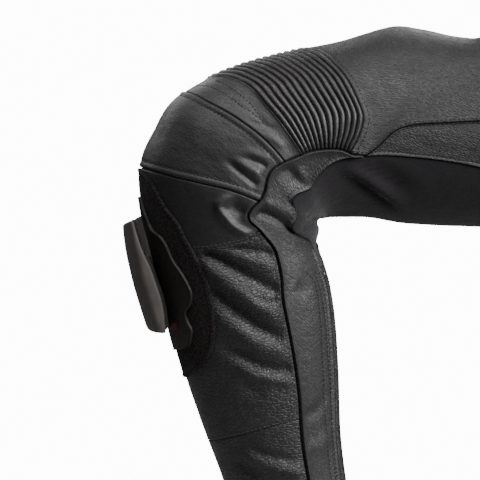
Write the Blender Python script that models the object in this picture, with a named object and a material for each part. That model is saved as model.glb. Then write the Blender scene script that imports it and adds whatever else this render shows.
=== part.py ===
"""Leather motorcycle trousers, worn shape in a riding crouch: hips bent, knees at a right angle.

One ring table gives the left leg's form from the waist to the hem, and the right leg is its mirror
image. The seams are lines on that form. They cut it into panels, and each panel is a thin wall of
its own. The patch, the slider plate and the waist tab lie on the panels. The zip pulls, the snap
and the knee sliders are hard pieces.

Frame: metres, +Z up, the wearer faces -Y and the wearer's left is +X. The origin is the centre of
the waist opening.
"""
import math

import bpy
import numpy as np
from mathutils import Matrix, Vector
from mathutils.geometry import delaunay_2d_cdt

# Cloth
LEATHER = 0.0020          # wall of a leather panel
STRETCH = 0.0016          # wall of the ribbed stretch cloth
BAND = 0.0030             # waistband, leather folded on itself
TAPE = 0.0014             # zip tape with its teeth closed
GAP = 0.0003              # between two sewn edges, and under what lies on a panel
FACET = 0.033             # length of a facet's edge, and shorter around the pit of the knee
RIBS = 13                 # stitched ribs of the stretch panel over the knee
RIB_OUT = 0.0025          # how far a rib's crest stands out
RIB_IN = 0.0008           # how far the stitched line between two ribs lies in

# What lies on the panels
PATCH = 0.0015            # loop patch on the shin
PLATE = 0.0026            # bendy plate under the slider
TAB = 0.0020              # waist tab
TAB_ENDS = (-166, -156)   # the angles at which it ends, on the wearer's left and right
TAB_RINGS = (0.2, 0.8)    # its upper and lower edge
SNAP_AT = (0.5, -163)     # ring and angle of its snap, on the wearer's right
FLY_HALF = 0.006          # half the width of zip tape that shows
FLY_END = 4.6             # ring at which the fly zip stops
ZIP_TOP = 22.1            # ring at which the calf zip starts

# Knee slider
PUCK_X = 0.1735           # its centre line, on the front line of the left leg
PUCK_HALF = 0.038         # half its width
PUCK_SAG = 0.011          # how far its sides bend back around the leg
INSERT = (0.0065, 0.0085, 0.0030)     # the red grip's length down the leg, width and height
INSERT_AT = (23.05, -65)              # its ring and angle
INSERT_SINK = 0.0004                  # how far the plate's facet lies below the form here
BOSS_HALF = 0.021         # half the width of the foot that stands on the plate
PLATE_TOP = 2 * GAP + PATCH + PLATE
FOOT_GAP = 0.0013         # between the foot and the plate's face, whose facets are flatter than the form

# One row a ring, from the waist down the left leg to the hem. A ring's angle is -90 at the front or
# top, 0 on the outside, 90 at the back or underside and 180 on the inside.
# front y, front z, back y, back z, outer x, inner x, front leg share, back leg share, inside bias
RINGS = np.array([
    (-0.1085, -0.0395, 0.1085, 0.0395, 0.155, 0.000, 0.00, 0.00, 0.00),     # waist edge
    (-0.105, -0.071, 0.119, 0.004, 0.163, 0.000, 0.00, 0.00, 0.00),         # foot of the waistband
    (-0.104, -0.092, 0.145, -0.055, 0.176, 0.000, 0.10, 0.00, 0.10),
    (-0.112, -0.103, 0.160, -0.115, 0.184, 0.000, 0.28, 0.02, 0.20),
    (-0.124, -0.109, 0.162, -0.172, 0.189, 0.000, 0.50, 0.06, 0.30),        # seat
    (-0.138, -0.112, 0.145, -0.228, 0.192, 0.000, 0.75, 0.18, 0.35),
    (-0.154, -0.114, 0.103, -0.272, 0.194, 0.000, 0.93, 0.50, 0.35),
    (-0.172, -0.116, 0.040, -0.299, 0.196, 0.000, 1.00, 1.00, 0.35),        # crotch
    (-0.192, -0.117, -0.040, -0.310, 0.199, 0.008, 1.00, 1.00, 0.18),
    (-0.211, -0.119, -0.125, -0.313, 0.204, 0.020, 1.00, 1.00, 0.05),
    (-0.231, -0.123, -0.204, -0.312, 0.210, 0.035, 1.00, 1.00, 0.00),       # mid thigh
    (-0.270, -0.133, -0.240, -0.306, 0.217, 0.052, 1.00, 1.00, 0.00),
    (-0.313, -0.143, -0.270, -0.305, 0.224, 0.070, 1.00, 1.00, 0.00),
    (-0.352, -0.153, -0.284, -0.305, 0.231, 0.086, 1.00, 1.00, 0.00),
    (-0.384, -0.165, -0.289, -0.306, 0.237, 0.097, 1.00, 1.00, 0.00),
    (-0.411, -0.180, -0.292, -0.307, 0.241, 0.103, 1.00, 1.00, 0.00),
    (-0.434, -0.198, -0.293, -0.309, 0.243, 0.107, 1.00, 1.00, 0.00),
    (-0.450, -0.223, -0.293, -0.311, 0.244, 0.109, 1.00, 1.00, 0.00),       # knee
    (-0.461, -0.248, -0.293, -0.315, 0.244, 0.110, 1.00, 1.00, 0.00),
    (-0.465, -0.272, -0.294, -0.321, 0.243, 0.111, 1.00, 1.00, 0.00),
    (-0.461, -0.299, -0.296, -0.329, 0.241, 0.112, 1.00, 1.00, 0.00),
    (-0.453, -0.330, -0.295, -0.337, 0.239, 0.112, 1.00, 1.00, 0.00),
    (-0.444, -0.367, -0.290, -0.350, 0.237, 0.111, 1.00, 1.00, 0.00),
    (-0.434, -0.406, -0.284, -0.373, 0.235, 0.109, 1.00, 1.00, 0.00),
    (-0.422, -0.449, -0.279, -0.406, 0.232, 0.108, 1.00, 1.00, 0.00),       # calf
    (-0.407, -0.495, -0.276, -0.451, 0.227, 0.108, 1.00, 1.00, 0.00),
    (-0.386, -0.554, -0.273, -0.516, 0.219, 0.108, 1.00, 1.00, 0.00),
    (-0.368, -0.606, -0.264, -0.578, 0.212, 0.108, 1.00, 1.00, 0.00),
    (-0.351, -0.656, -0.253, -0.636, 0.206, 0.106, 1.00, 1.00, 0.00),       # hem
])
HEM = len(RINGS) - 1
CROTCH = 7                # from this ring down, the ring's two ends meet on the inside of the leg

# Seams of the left half: (ring, angle) along each. FORK is where three of them meet above the knee.
FORK = (11.0, 18)
SEAT_END = 6.6            # ring at which the stretch cloth ends on the back rise, just behind the crotch
SEAMS = {
    "outer_thigh": [(1, 4), (3, 2), (6, 0), (9, 0), (10, 2), (10.6, 12), FORK],
    "outer_leg": [FORK, (11.35, 16), (11.7, 12), (12.5, 11), (13.5, 13), (15, 14), (16, 17), (16.8, 19),
                  (17.8, 18), (19.1, 12), (19.8, 20), (20.9, 28), (22.2, 27), (23.1, 24), (25, 25),
                  (26, 22), (HEM, 21)],
    "back_outer": [(6, 180), (6.05, 160), (6.5, 105), (7.6, 50), (8.4, 32), (9.2, 22), (10.1, 18), FORK,
                   (11.8, 20), (12.5, 27), (13.3, 36), (14, 38), (16, 38), (16.8, 44), (18, 46),
                   (19.1, 43), (19.5, 50), (19.8, 64), (20.8, 70), (ZIP_TOP, 70), (23, 72), (24, 69),
                   (25.2, 67), (26.4, 61), (HEM, 54)],
    "back_inner": [(SEAT_END, 180), (7.2, 175), (8, 168), (9, 162), (11, 156), (12.4, 150), (14, 147),
                   (16.6, 146), (18.2, 139), (19.2, 122), (19.8, 104), (20.4, 90), (21.2, 84),
                   (ZIP_TOP, 83), (23, 84), (24, 81), (25.2, 80), (26.4, 75), (HEM, 69)],
    "inner_front": [(5, -180), (6, -172), (7, -166), (8.5, -162), (10, -156), (11.5, -152), (13, -152),
                    (16, -149), (17.7, -152), (19.5, -157), (22, -161), (25, -159), (HEM, -156)],
    "zip_top": [(ZIP_TOP, 70), (ZIP_TOP, 83)],
}
# Seams that run from the outer leg seam over the front to the inner front seam: (ring, angle).
CROSS_SEAMS = {
    "ribs_top": [(11.5, 22), (11.33, 13), (11.12, 6), (10.97, -1), (10.89, -8), (10.96, -18), (11.12, -34),
                 (11.39, -52), (11.66, -70), (11.83, -80), (11.88, -90), (11.83, -100), (11.66, -110),
                 (11.39, -128), (11.12, -146), (11.1, -175)],
    "ribs_foot": [(12.85, 22), (12.97, 10), (13.25, -15), (13.43, -29), (13.57, -44), (13.99, -64),
                  (14.36, -79), (14.45, -90), (14.36, -101), (13.99, -116), (13.57, -136), (13.43, -151),
                  (13.4, -175)],
    "cap_top": [(14.1, 22), (14.12, 12), (14.28, -4), (14.66, -25), (15.04, -46), (15.2, -61), (15.4, -90),
                (15.2, -119), (15.04, -134), (14.8, -150), (14.7, -175)],
    "cap_foot": [(17.74, 26), (17.77, 4), (18.09, -21), (18.29, -46), (18.38, -90), (18.29, -134),
                 (18.1, -155), (18, -175)],
    "shin_top": [(19.4, 27), (19.86, 19), (20.27, 14), (20.6, 7), (20.94, -11), (21.07, -31), (21.1, -90),
                 (21.07, -149), (21, -175)],
    "shin_foot": [(25.55, 36), (25.51, 15), (25.47, -36), (25.45, -90), (25.5, -175)],
}
# Outlines of what lies on the shin, from its front line to the outside; the inside is the mirror image.
PATCH_EDGE = [(18.62, -90), (18.9, -62), (19.7, -45), (20.7, -35), (22, -29), (23, -29), (23.5, -34),
              (23.9, -46), (24.1, -70), (24.1, -90)]
PLATE_EDGE = [(19.5, -90), (19.55, -81), (20.35, -78), (20.75, -63), (21.3, -55), (22, -46), (22.5, -44),
              (22.9, -53), (23.3, -50), (23.6, -60), (23.6, -90)]

# Panels: name, a ring and angle inside it, wall, kind
PANELS = [
    ("waistband", 0.1, 0, BAND, "leather"),
    ("thigh_front", 6, -60, LEATHER, "leather"),
    ("seat", 4, 90, LEATHER, "leather"),
    ("stretch_back", 9.5, 100, STRETCH, "stretch cloth"),
    ("rib_panel", 12.4, -60, LEATHER, "ribbed leather"),
    ("knee_strip", 14.1, -40, LEATHER, "leather"),
    ("knee_cap", 16.5, -60, LEATHER, "leather"),
    ("under_knee", 18.6, -20, LEATHER, "leather"),
    ("shin", 24.8, -60, LEATHER, "leather"),
    ("shin_lower", 27, -60, LEATHER, "leather"),
    ("side_outer", 18, 32, LEATHER, "leather"),
    ("side_inner", 24, 150, LEATHER, "leather"),
    ("calf_zip", 25, 73, TAPE, "zip"),
]

# The slider's face, seen from the side: y, z of its centre line, half width as a share, slab thickness
PUCK_FACE = [
    (-0.4780, -0.3085, 0.62, 0.0035),
    (-0.4800, -0.3135, 0.80, 0.0065),
    (-0.4778, -0.3270, 0.97, 0.0078),
    (-0.4755, -0.3400, 1.00, 0.0088),
    (-0.4750, -0.3425, 1.00, 0.0090),
    (-0.4720, -0.3560, 1.00, 0.0100),
    (-0.4680, -0.3720, 1.00, 0.0110),
    (-0.4635, -0.3870, 0.97, 0.0118),
    (-0.4597, -0.3990, 0.93, 0.0124),
    (-0.4560, -0.4090, 0.84, 0.0124),
    (-0.4525, -0.4130, 0.70, 0.0110),
]
BOSS_ROWS = range(4, 10)  # rows of the face behind which the foot reaches the plate

# Zip pulls: body, bridge and tab, in metres
CALF_PULL_AT = (27.6, 62.5)            # ring and angle, near the hem where the zip is closed
FLY_PULL_AT = (1.35, -180)             # just below the waistband
CALF_SEAT, FLY_SEAT = 0.0004, -0.0006  # the sliders' height above the form, just clear of the zip's facets
PULL_WIDTH, PULL_LENGTH, PULL_HEIGHT = 0.0080, 0.0110, 0.0026
BRIDGE_WIDTH, BRIDGE_WALL, BRIDGE_SPAN = 0.0016, 0.0012, 0.0058
BAR = 0.0012              # the tab's thickness, and the bar that turns under the bridge
TURN_ROOM = 0.00095       # half the free height around the bar
TAB_WIDTH, TAB_LENGTH = 0.0064, 0.0230
TAB_HOLE_WIDTH, TAB_HOLE_END = 0.0027, 0.0053

COLOURS = {               # base colour, roughness, metallic
    "leather": ((0.035, 0.034, 0.036), 0.45, 0.0),
    "ribbed leather": ((0.030, 0.029, 0.031), 0.5, 0.0),
    "stretch cloth": ((0.026, 0.023, 0.027), 0.9, 0.0),
    "zip": ((0.015, 0.015, 0.016), 0.6, 0.0),
    "loop cloth": ((0.008, 0.008, 0.008), 1.0, 0.0),
    "plate": ((0.010, 0.009, 0.009), 0.6, 0.0),
    "slider plastic": ((0.026, 0.023, 0.022), 0.4, 0.0),
    "red plastic": ((0.16, 0.012, 0.012), 0.45, 0.0),
    "metal": ((0.30, 0.30, 0.31), 0.35, 1.0),
}


# ---- the form ----

def ring_values(ring):
    """The ring table's columns at fractional rings, on a smooth curve through its rows."""
    ring = np.clip(np.asarray(ring, float), 0, HEM)
    row = np.minimum(ring.astype(int), HEM - 1)
    part = (ring - row)[..., None]
    before = np.where((row == 0)[..., None], 2 * RINGS[0] - RINGS[1], RINGS[np.maximum(row - 1, 0)])
    here, after = RINGS[row], RINGS[row + 1]
    last = 2 * RINGS[HEM] - RINGS[HEM - 1]
    beyond = np.where((row == HEM - 1)[..., None], last, RINGS[np.minimum(row + 2, HEM)])
    return 0.5 * (2 * here + (after - before) * part
                  + (2 * before - 5 * here + 4 * after - beyond) * part ** 2
                  + (3 * here - before - 3 * after + beyond) * part ** 3)


def surface(ring, angle):
    """Points of the left half's outer surface."""
    values = ring_values(ring)
    angle = np.radians(np.asarray(angle, float))
    front, back = values[..., 0:2], values[..., 2:4]
    outer, inner = values[..., 4], np.maximum(values[..., 5], 0)
    share = np.clip(np.where(angle < 0, values[..., 6], values[..., 7]), 0, 1)
    leg_x = (outer + inner) / 2 + (outer - inner) / 2 * np.cos(angle)
    leg_s = np.sin(angle) + values[..., 8] * (1 - np.cos(angle)) / 2
    half = angle / 2
    hip_x = outer * np.abs(np.cos(half)) ** 0.85
    hip_s = np.sign(half) * np.abs(np.sin(half)) ** 0.9
    x = (1 - share) * hip_x + share * leg_x
    s = (1 - share) * hip_s + share * leg_s
    yz = (front + back) / 2 + (back - front) / 2 * s[..., None]
    return np.concatenate([x[..., None], yz], axis=-1)


def unit(vector):
    return vector / np.linalg.norm(vector, axis=-1, keepdims=True)


def surface_normal(ring, angle):
    down = surface(ring + 0.02, angle) - surface(ring - 0.02, angle)
    around = surface(ring, angle + 0.5) - surface(ring, angle - 0.5)
    return unit(np.cross(down, around))


def angle_at_x(ring, x):
    """Angle on the front, between the inside and the top, at which the ring is x from the mid plane."""
    low, high = -180.0, -90.0
    for _ in range(40):
        middle = (low + high) / 2
        if surface(ring, middle)[0] < x:
            low = middle
        else:
            high = middle
    return low


# ---- lines on the form ----

def facet_length(ring, angle):
    """Length of the facets here: the pit of the knee bends tightly and gets short ones."""
    around = np.clip((angle - 10) / 60, 0, 1) * np.clip((195 - angle) / 50, 0, 1)
    return FACET * (1 - 0.68 * around * np.exp(-((ring - 16) / 3.4) ** 2))


class Line:
    """A smooth line on the form. Lengths along it count in facets, and its stops are the lengths at
    which other lines meet it."""

    def __init__(self, points, curved=True):
        points = np.array(points, float)
        self.path = smooth(points) if curved else points
        middles = (self.path[1:] + self.path[:-1]) / 2
        steps = np.linalg.norm(np.diff(surface(*self.path.T), axis=0), axis=1) / facet_length(*middles.T)
        self.length = np.concatenate([[0], np.cumsum(steps)])
        self.start, self.end = 0.0, self.length[-1]
        self.stops = set()

    def at(self, length):
        return np.array([np.interp(length, self.length, self.path[:, axis]) for axis in (0, 1)]).T

    def stop_at(self, point):
        nearest = np.argmin(np.abs(self.path - np.array(point)) @ np.array([30.0, 1.0]))
        self.stops.add(float(self.length[nearest]))

    def crossing(self, other):
        """Lengths along both lines where they first cross."""
        for i, (a, b) in enumerate(zip(self.path, self.path[1:])):
            p, q = other.path[:-1], other.path[1:] - other.path[:-1]
            r = b - a
            cross = r[0] * q[:, 1] - r[1] * q[:, 0]
            cross[cross == 0] = 1e-12
            s = ((p - a)[:, 0] * q[:, 1] - (p - a)[:, 1] * q[:, 0]) / cross
            t = ((p - a)[:, 0] * r[1] - (p - a)[:, 1] * r[0]) / cross
            hits = np.flatnonzero((s >= 0) & (s <= 1) & (t >= 0) & (t <= 1))
            if len(hits):
                j = hits[0]
                here = self.length[i] + s[j] * (self.length[i + 1] - self.length[i])
                there = other.length[j] + t[j] * (other.length[j + 1] - other.length[j])
                return here, there
        raise ValueError("these lines don't cross")

    def trim(self, first, last):
        """Ends the line on two others, and gives them stops there."""
        self.start, there = self.crossing(first)
        first.stops.add(float(there))
        self.end, there = self.crossing(last)
        last.stops.add(float(there))

    def samples(self, step=1.0):
        """Points along the line, evenly spaced between its stops."""
        inside = [stop for stop in self.stops if self.start + 1e-6 < stop < self.end - 1e-6]
        marks = [self.start] + sorted(inside) + [self.end]
        lengths = [self.start]
        for a, b in zip(marks, marks[1:]):
            count = max(1, round((b - a) / step))
            lengths += list(np.linspace(a, b, count + 1)[1:])
        return self.at(np.array(lengths))


def smooth(points, steps=12):
    """A Catmull-Rom curve through the points."""
    if len(points) < 3:
        return np.array([points[0] + (points[1] - points[0]) * k / 60 for k in range(61)])
    padded = np.vstack([2 * points[0] - points[1], points, 2 * points[-1] - points[-2]])
    curve = []
    for a, b, c, d in zip(padded, padded[1:], padded[2:], padded[3:]):
        for k in range(steps):
            t = k / steps
            curve.append(0.5 * (2 * b + (c - a) * t + (2 * a - 5 * b + 4 * c - d) * t * t
                                + (3 * b - a - 3 * c + d) * t ** 3))
    return np.array(curve + [points[-1]])


def closed_outline(half_edge, step):
    """A loop from its half: the other half is its mirror image about the leg's front line."""
    half_edge = Line(half_edge, curved=step < 1).samples(step) if step < 1 else np.array(half_edge, float)
    other = half_edge[-2:0:-1] * (1, -1) - (0, 180)
    return np.vstack([half_edge, other])


PATCH_OUTLINE = closed_outline(PATCH_EDGE, 0.4)
PLATE_OUTLINE = closed_outline(PLATE_EDGE, 1)


def rib_line(top, foot, share):
    """A line across the rib panel, a share of the way from its top seam to its foot seam."""
    angles = np.arange(21.0, -172.0, -3.0)
    edges = [np.interp(-angles, -line.path[:, 1], line.path[:, 0]) for line in (top, foot)]
    rings = edges[0] + share * (edges[1] - edges[0])
    return Line(np.column_stack([rings, angles]), curved=False)


def make_lines():
    """Every line that cuts or marks the left half: a list of (points, kind, height)."""
    seams = {name: Line(points) for name, points in SEAMS.items() if name != "zip_top"}
    crosses = {name: Line(points) for name, points in CROSS_SEAMS.items()}
    seams["back_outer"].stop_at(FORK)
    seams["back_outer"].stop_at((ZIP_TOP, 70))
    seams["back_inner"].stop_at((ZIP_TOP, 83))
    ribs = []
    for k in range(1, 2 * RIBS):
        line = rib_line(crosses["ribs_top"], crosses["ribs_foot"], k / (2 * RIBS))
        line.trim(seams["outer_leg"], seams["inner_front"])
        ribs.append((line, RIB_OUT if k % 2 else -RIB_IN))
    for line in crosses.values():
        line.trim(seams["outer_leg"], seams["inner_front"])
    lines = [(line.samples(), "seam", 0.0) for line in list(seams.values()) + list(crosses.values())]
    lines += [(line.samples(), "rib", height) for line, height in ribs]
    band = np.union1d(np.linspace(-180, 180, 25), [SEAMS["outer_thigh"][0][1], angle_at_x(1.0, FLY_HALF)])
    lines.append((np.array([(1, angle) for angle in band]), "seam", 0.0))
    lines.append((np.array(SEAMS["zip_top"]), "seam", 0.0))
    fly = [(ring, angle_at_x(ring, FLY_HALF)) for ring in np.linspace(1, FLY_END, 7)] + [(FLY_END, -180)]
    lines.append((np.array(fly), "seam", 0.0))
    for outline in (PATCH_OUTLINE, PLATE_OUTLINE):
        lines.append((np.vstack([outline, outline[:1]]), "mark", 0.0))
    for angle in TAB_ENDS:
        lines.append((np.array([(TAB_RINGS[0], -180), (TAB_RINGS[0], angle), (TAB_RINGS[1], angle),
                                (TAB_RINGS[1], -180)]), "mark", 0.0))
    return lines


# ---- the cut: one triangle net over the left half ----

# The form is unrolled for the net: one way runs down the leg at its true length from the knee, and
# the other goes round it.
KNEE = 16
ANGLE_SCALE = 0.0013                          # metres on the flat for one degree
FINE_RINGS = np.linspace(0, HEM, HEM * 10 + 1)
FINE_ANGLES = np.linspace(-180, 180, 73)
FINE_STEPS = np.linalg.norm(np.diff(surface(*np.meshgrid(FINE_RINGS, FINE_ANGLES, indexing="ij")), axis=0),
                            axis=2)
REACH = np.vstack([np.zeros(len(FINE_ANGLES)), np.cumsum(FINE_STEPS, axis=0)])
REACH = REACH - REACH[KNEE * 10]


def reach_at(angle):
    """Length down the leg for each fine ring, at this angle."""
    column = min((angle + 180) / 5, len(FINE_ANGLES) - 1.001)
    left = int(column)
    return REACH[:, left] + (column - left) * (REACH[:, left + 1] - REACH[:, left])


def flatten(ring, angle):
    return Vector((np.interp(ring, FINE_RINGS, reach_at(angle)), angle * ANGLE_SCALE))


def unflatten(flat):
    angle = flat.y / ANGLE_SCALE
    return float(np.interp(flat.x, reach_at(angle), FINE_RINGS)), angle


def inside(point, outline):
    """Whether a flat point lies inside a closed outline."""
    x, y = point
    a, b = outline, np.roll(outline, -1, axis=0)
    spans = (a[:, 1] > y) != (b[:, 1] > y)
    with np.errstate(divide="ignore", invalid="ignore"):
        meets = a[:, 0] + (y - a[:, 1]) / (b[:, 1] - a[:, 1]) * (b[:, 0] - a[:, 0])
    return np.count_nonzero(spans & (meets > x)) % 2 == 1


class Net:
    """The left half as triangles, with its seams as edges."""

    def __init__(self):
        self.points, self.heights, self.edges, self.kinds = [], [], [], []
        for points, kind, height in make_lines():
            self.add_line(points, kind, height)
        self.add_border()
        self.fill()
        self.cut()

    def add_line(self, points, kind, height):
        start = len(self.points)
        self.points += [tuple(point) for point in points]
        self.heights += [height if 0 < k < len(points) - 1 else 0.0 for k in range(len(points))]
        self.edges += [(start + k, start + k + 1) for k in range(len(points) - 1)]
        self.kinds += [kind] * (len(points) - 1)

    def add_border(self):
        """The waist, the hem and the two long sides, whose points face each other where they join."""
        side = sorted([0, *TAB_RINGS, 1, 2, 3, 4, FLY_END, 5, 6, SEAT_END]
                      + [CROTCH + 0.75 * k for k in range(29)])
        for angle in (-180, 180):
            self.add_line([(ring, angle) for ring in side], "border", 0.0)
        at_hem = [points[-1][1] for points in SEAMS.values() if points[-1][0] == HEM]
        for ring, count, ends in ((0, 22, []), (HEM, 16, at_hem)):
            angles = np.union1d(np.linspace(-180, 180, count + 1), ends)
            self.add_line([(ring, angle) for angle in angles], "border", 0.0)

    def fill(self):
        """Inner points, at least a facet's length apart."""
        kept = surface(*np.array(self.points).T)
        room = 0.62 * facet_length(*np.array(self.points).T)
        golden = (math.sqrt(5) - 1) / 2
        tries = 9000
        for k in range(tries):
            ring, angle = 0.3 + (HEM - 0.5) * (k + 0.5) / tries, -176 + 352 * ((k * golden) % 1)
            place = surface(ring, angle)
            if np.all(np.linalg.norm(kept - place, axis=1) > room):
                kept = np.vstack([kept, place])
                room = np.append(room, 0.86 * facet_length(ring, angle))
                self.points.append((ring, angle))
                self.heights.append(0.0)

    def cut(self):
        flat = [flatten(*point) for point in self.points]
        verts, edges, faces, vert_from, edge_from, _ = delaunay_2d_cdt(flat, self.edges, [], 1, 1e-6)
        self.flat = np.array([self.points[origin[0]] if origin else unflatten(vert)
                              for vert, origin in zip(verts, vert_from)])
        self.height = np.array([max((self.heights[i] for i in origin), key=abs, default=0.0)
                                for origin in vert_from])
        self.join_inside()
        self.position = surface(*self.flat.T)
        self.position[:, 0] = np.maximum(self.position[:, 0], GAP / 2)
        self.faces = [tuple(face) for face in faces if self.area(face) > 1e-9]
        self.orient()
        self.seam_edges, self.border_edges = set(), set()
        for edge, origin in zip(edges, edge_from):
            kinds = {self.kinds[i] for i in origin if i < len(self.kinds)}
            key = self.edge_key(*edge)
            if "seam" in kinds:
                self.seam_edges.add(key)
            elif "border" in kinds:
                self.border_edges.add(key)
        self.normals()

    def join_inside(self):
        """The net's two long sides are one line below the crotch: each point there gets one number."""
        self.number = np.arange(len(self.flat))
        far = {round(ring, 3): i for i, (ring, angle) in enumerate(self.flat) if angle > 179.9}
        for i, (ring, angle) in enumerate(self.flat):
            if angle < -179.9 and ring > CROTCH - 0.001:
                self.number[i] = far[round(ring, 3)]

    def edge_key(self, i, j):
        return tuple(sorted((self.number[i], self.number[j])))

    def area(self, face):
        a, b, c = self.position[list(face)]
        return np.linalg.norm(np.cross(b - a, c - a)) / 2

    def orient(self):
        """Turns each triangle so that it faces out."""
        for k, (a, b, c) in enumerate(self.faces):
            (u1, v1), (u2, v2) = self.flat[b] - self.flat[a], self.flat[c] - self.flat[a]
            if u1 * v2 - v1 * u2 < 0:
                self.faces[k] = (a, c, b)

    def normals(self):
        total = np.zeros_like(self.position)
        for face in self.faces:
            a, b, c = self.position[list(face)]
            for i in face:
                total[self.number[i]] += np.cross(b - a, c - a)
        self.normal = total[self.number]
        ring, angle = self.flat.T
        self.mid = (np.abs(angle) > 179.9) & (ring < CROTCH + 0.001)
        self.normal[self.mid, 0] = 0
        self.normal = unit(self.normal)

    def panel(self, ring, angle):
        """The triangles around a point, out to the seams."""
        start = min(range(len(self.faces)), key=lambda k: self.distance(self.faces[k], ring, angle))
        beside = {}
        for k, face in enumerate(self.faces):
            for i, j in zip(face, face[1:] + face[:1]):
                beside.setdefault(self.edge_key(i, j), []).append(k)
        found, todo = {start}, [start]
        while todo:
            face = self.faces[todo.pop()]
            for i, j in zip(face, face[1:] + face[:1]):
                key = self.edge_key(i, j)
                if key in self.seam_edges:
                    continue
                for other in beside[key]:
                    if other not in found:
                        found.add(other)
                        todo.append(other)
        return [self.faces[k] for k in sorted(found)]

    def distance(self, face, ring, angle):
        """From a triangle's centre to a point, on the flat."""
        return (flatten(*self.flat[list(face)].mean(axis=0)) - flatten(ring, angle)).length

    def within(self, outline):
        """The triangles inside a closed outline."""
        return [face for face in self.faces if inside(self.flat[list(face)].mean(axis=0), outline)]

    def inset(self, faces):
        """How far each point of a panel moves in from its seams, half of the gap to the next panel."""
        count, ahead = {}, {}
        for face in faces:
            for k in range(3):
                i, j, far = face[k], face[k - 2], face[k - 1]
                key = self.edge_key(i, j)
                count[key] = count.get(key, 0) + 1
                ahead[key] = (i, j, far)
        moves = {}
        for key, (i, j, far) in ahead.items():
            if count[key] == 2 or key in self.border_edges:
                continue
            along = unit(self.position[j] - self.position[i])
            across = self.position[far] - self.position[i]
            across = unit(across - along * (across @ along))
            for number in key:
                moves.setdefault(number, []).append(across)
        return {number: GAP * sum(ways) / max(len(ways) * (1 + ways[0] @ ways[-1]), 0.7)
                for number, ways in moves.items()}


# ---- solids ----

def make_object(name, points, faces, kind, location=(0, 0, 0), rotation=None):
    mesh = bpy.data.meshes.new(name)
    mesh.from_pydata([tuple(point) for point in points], [], faces)
    mesh.shade_smooth()
    mesh.set_sharp_from_angle(angle=math.radians(40))
    colour, roughness, metallic = COLOURS[kind]
    material = bpy.data.materials.new(name)
    material.use_nodes = True
    shader = material.node_tree.nodes["Principled BSDF"]
    shader.inputs["Base Color"].default_value = (*colour, 1)
    shader.inputs["Roughness"].default_value = roughness
    shader.inputs["Metallic"].default_value = metallic
    mesh.materials.append(material)
    item = bpy.data.objects.new(name, mesh)
    item.location = location
    if rotation is not None:
        item.rotation_euler = rotation.to_euler()
    bpy.context.scene.collection.objects.link(item)
    return item


def wall(outer, inner, faces):
    """Points and faces of a closed wall between two sheets that share their triangles."""
    used = sorted({i for face in faces for i in face})
    place = {number: k for k, number in enumerate(used)}
    points = [outer[number] for number in used] + [inner[number] for number in used]
    back = len(used)
    solid, edges = [], {}
    for face in faces:
        a, b, c = (place[number] for number in face)
        solid += [(a, b, c), (back + c, back + b, back + a)]
        for i, j in ((a, b), (b, c), (c, a)):
            edges[(i, j)] = True
    for i, j in edges:
        if (j, i) in edges:
            continue
        if i < j:           # both panels at a seam fold their edge walls along the same diagonal
            solid += [(j, i, back + i), (j, back + i, back + j)]
        else:
            solid += [(j, i, back + j), (i, back + i, back + j)]
    return np.array(points), solid


def mirrored(points, faces):
    return points * (-1, 1, 1), [face[::-1] for face in faces]


def cloth_pair(net, name, faces, low, high, kind, sewn=True):
    """A panel, or what lies on one, from height low to high above the form, on both halves."""
    move = net.inset(faces) if sewn else {}
    outer, inner = {}, {}
    joined = [tuple(net.number[i] for i in face) for face in faces]
    for face in faces:
        for i in face:
            number = net.number[i]
            base = net.position[i] + move.get(number, 0.0)
            outer[number] = base + net.normal[i] * (high + net.height[i])
            inner[number] = base + net.normal[i] * (low + net.height[i])
    points, solid = wall(outer, inner, joined)
    make_object(name + "_left", points, solid, kind)
    make_object(name + "_right", *mirrored(points, solid), kind)


def cloth_across(net, name, left_faces, right_faces, low, high, kind, sewn):
    """A piece that crosses the mid plane: triangles of the left half and mirrored ones of the right."""
    outer, inner, faces = {}, {}, []
    for side, half in ((1, left_faces), (-1, right_faces)):
        move = net.inset(half) if sewn else {}
        for face in half:
            numbers = []
            for i in face:
                key = (net.number[i], 0 if net.mid[i] else side)
                base = net.position[i] + move.get(net.number[i], 0.0)
                base = base * (0 if net.mid[i] else side, 1, 1)
                normal = net.normal[i] * (side, 1, 1)
                outer[key] = base + normal * high
                inner[key] = base + normal * low
                numbers.append(key)
            faces.append(tuple(numbers[::side]))
    make_object(name, *wall(outer, inner, faces), kind)


# ---- knee slider ----

def plate_depth(start, way, x, height):
    """Distance from a point, in its plane across x, to the sheet that lies this high on the shin."""
    rings = np.linspace(18.5, 24.8, 400)
    values = ring_values(rings)
    middle, half = (values[:, 4] + values[:, 5]) / 2, (values[:, 4] - values[:, 5]) / 2
    angles = -np.degrees(np.arccos(np.clip((x + PUCK_X - middle) / half, -1, 1)))
    sheet = surface(rings, angles) + surface_normal(rings, angles) * height
    offset = sheet[:, 1:] - start
    side = offset[:, 0] * way[1] - offset[:, 1] * way[0]
    k = int(np.argmin(np.abs(side)))
    return float(offset[k] @ way)


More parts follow.
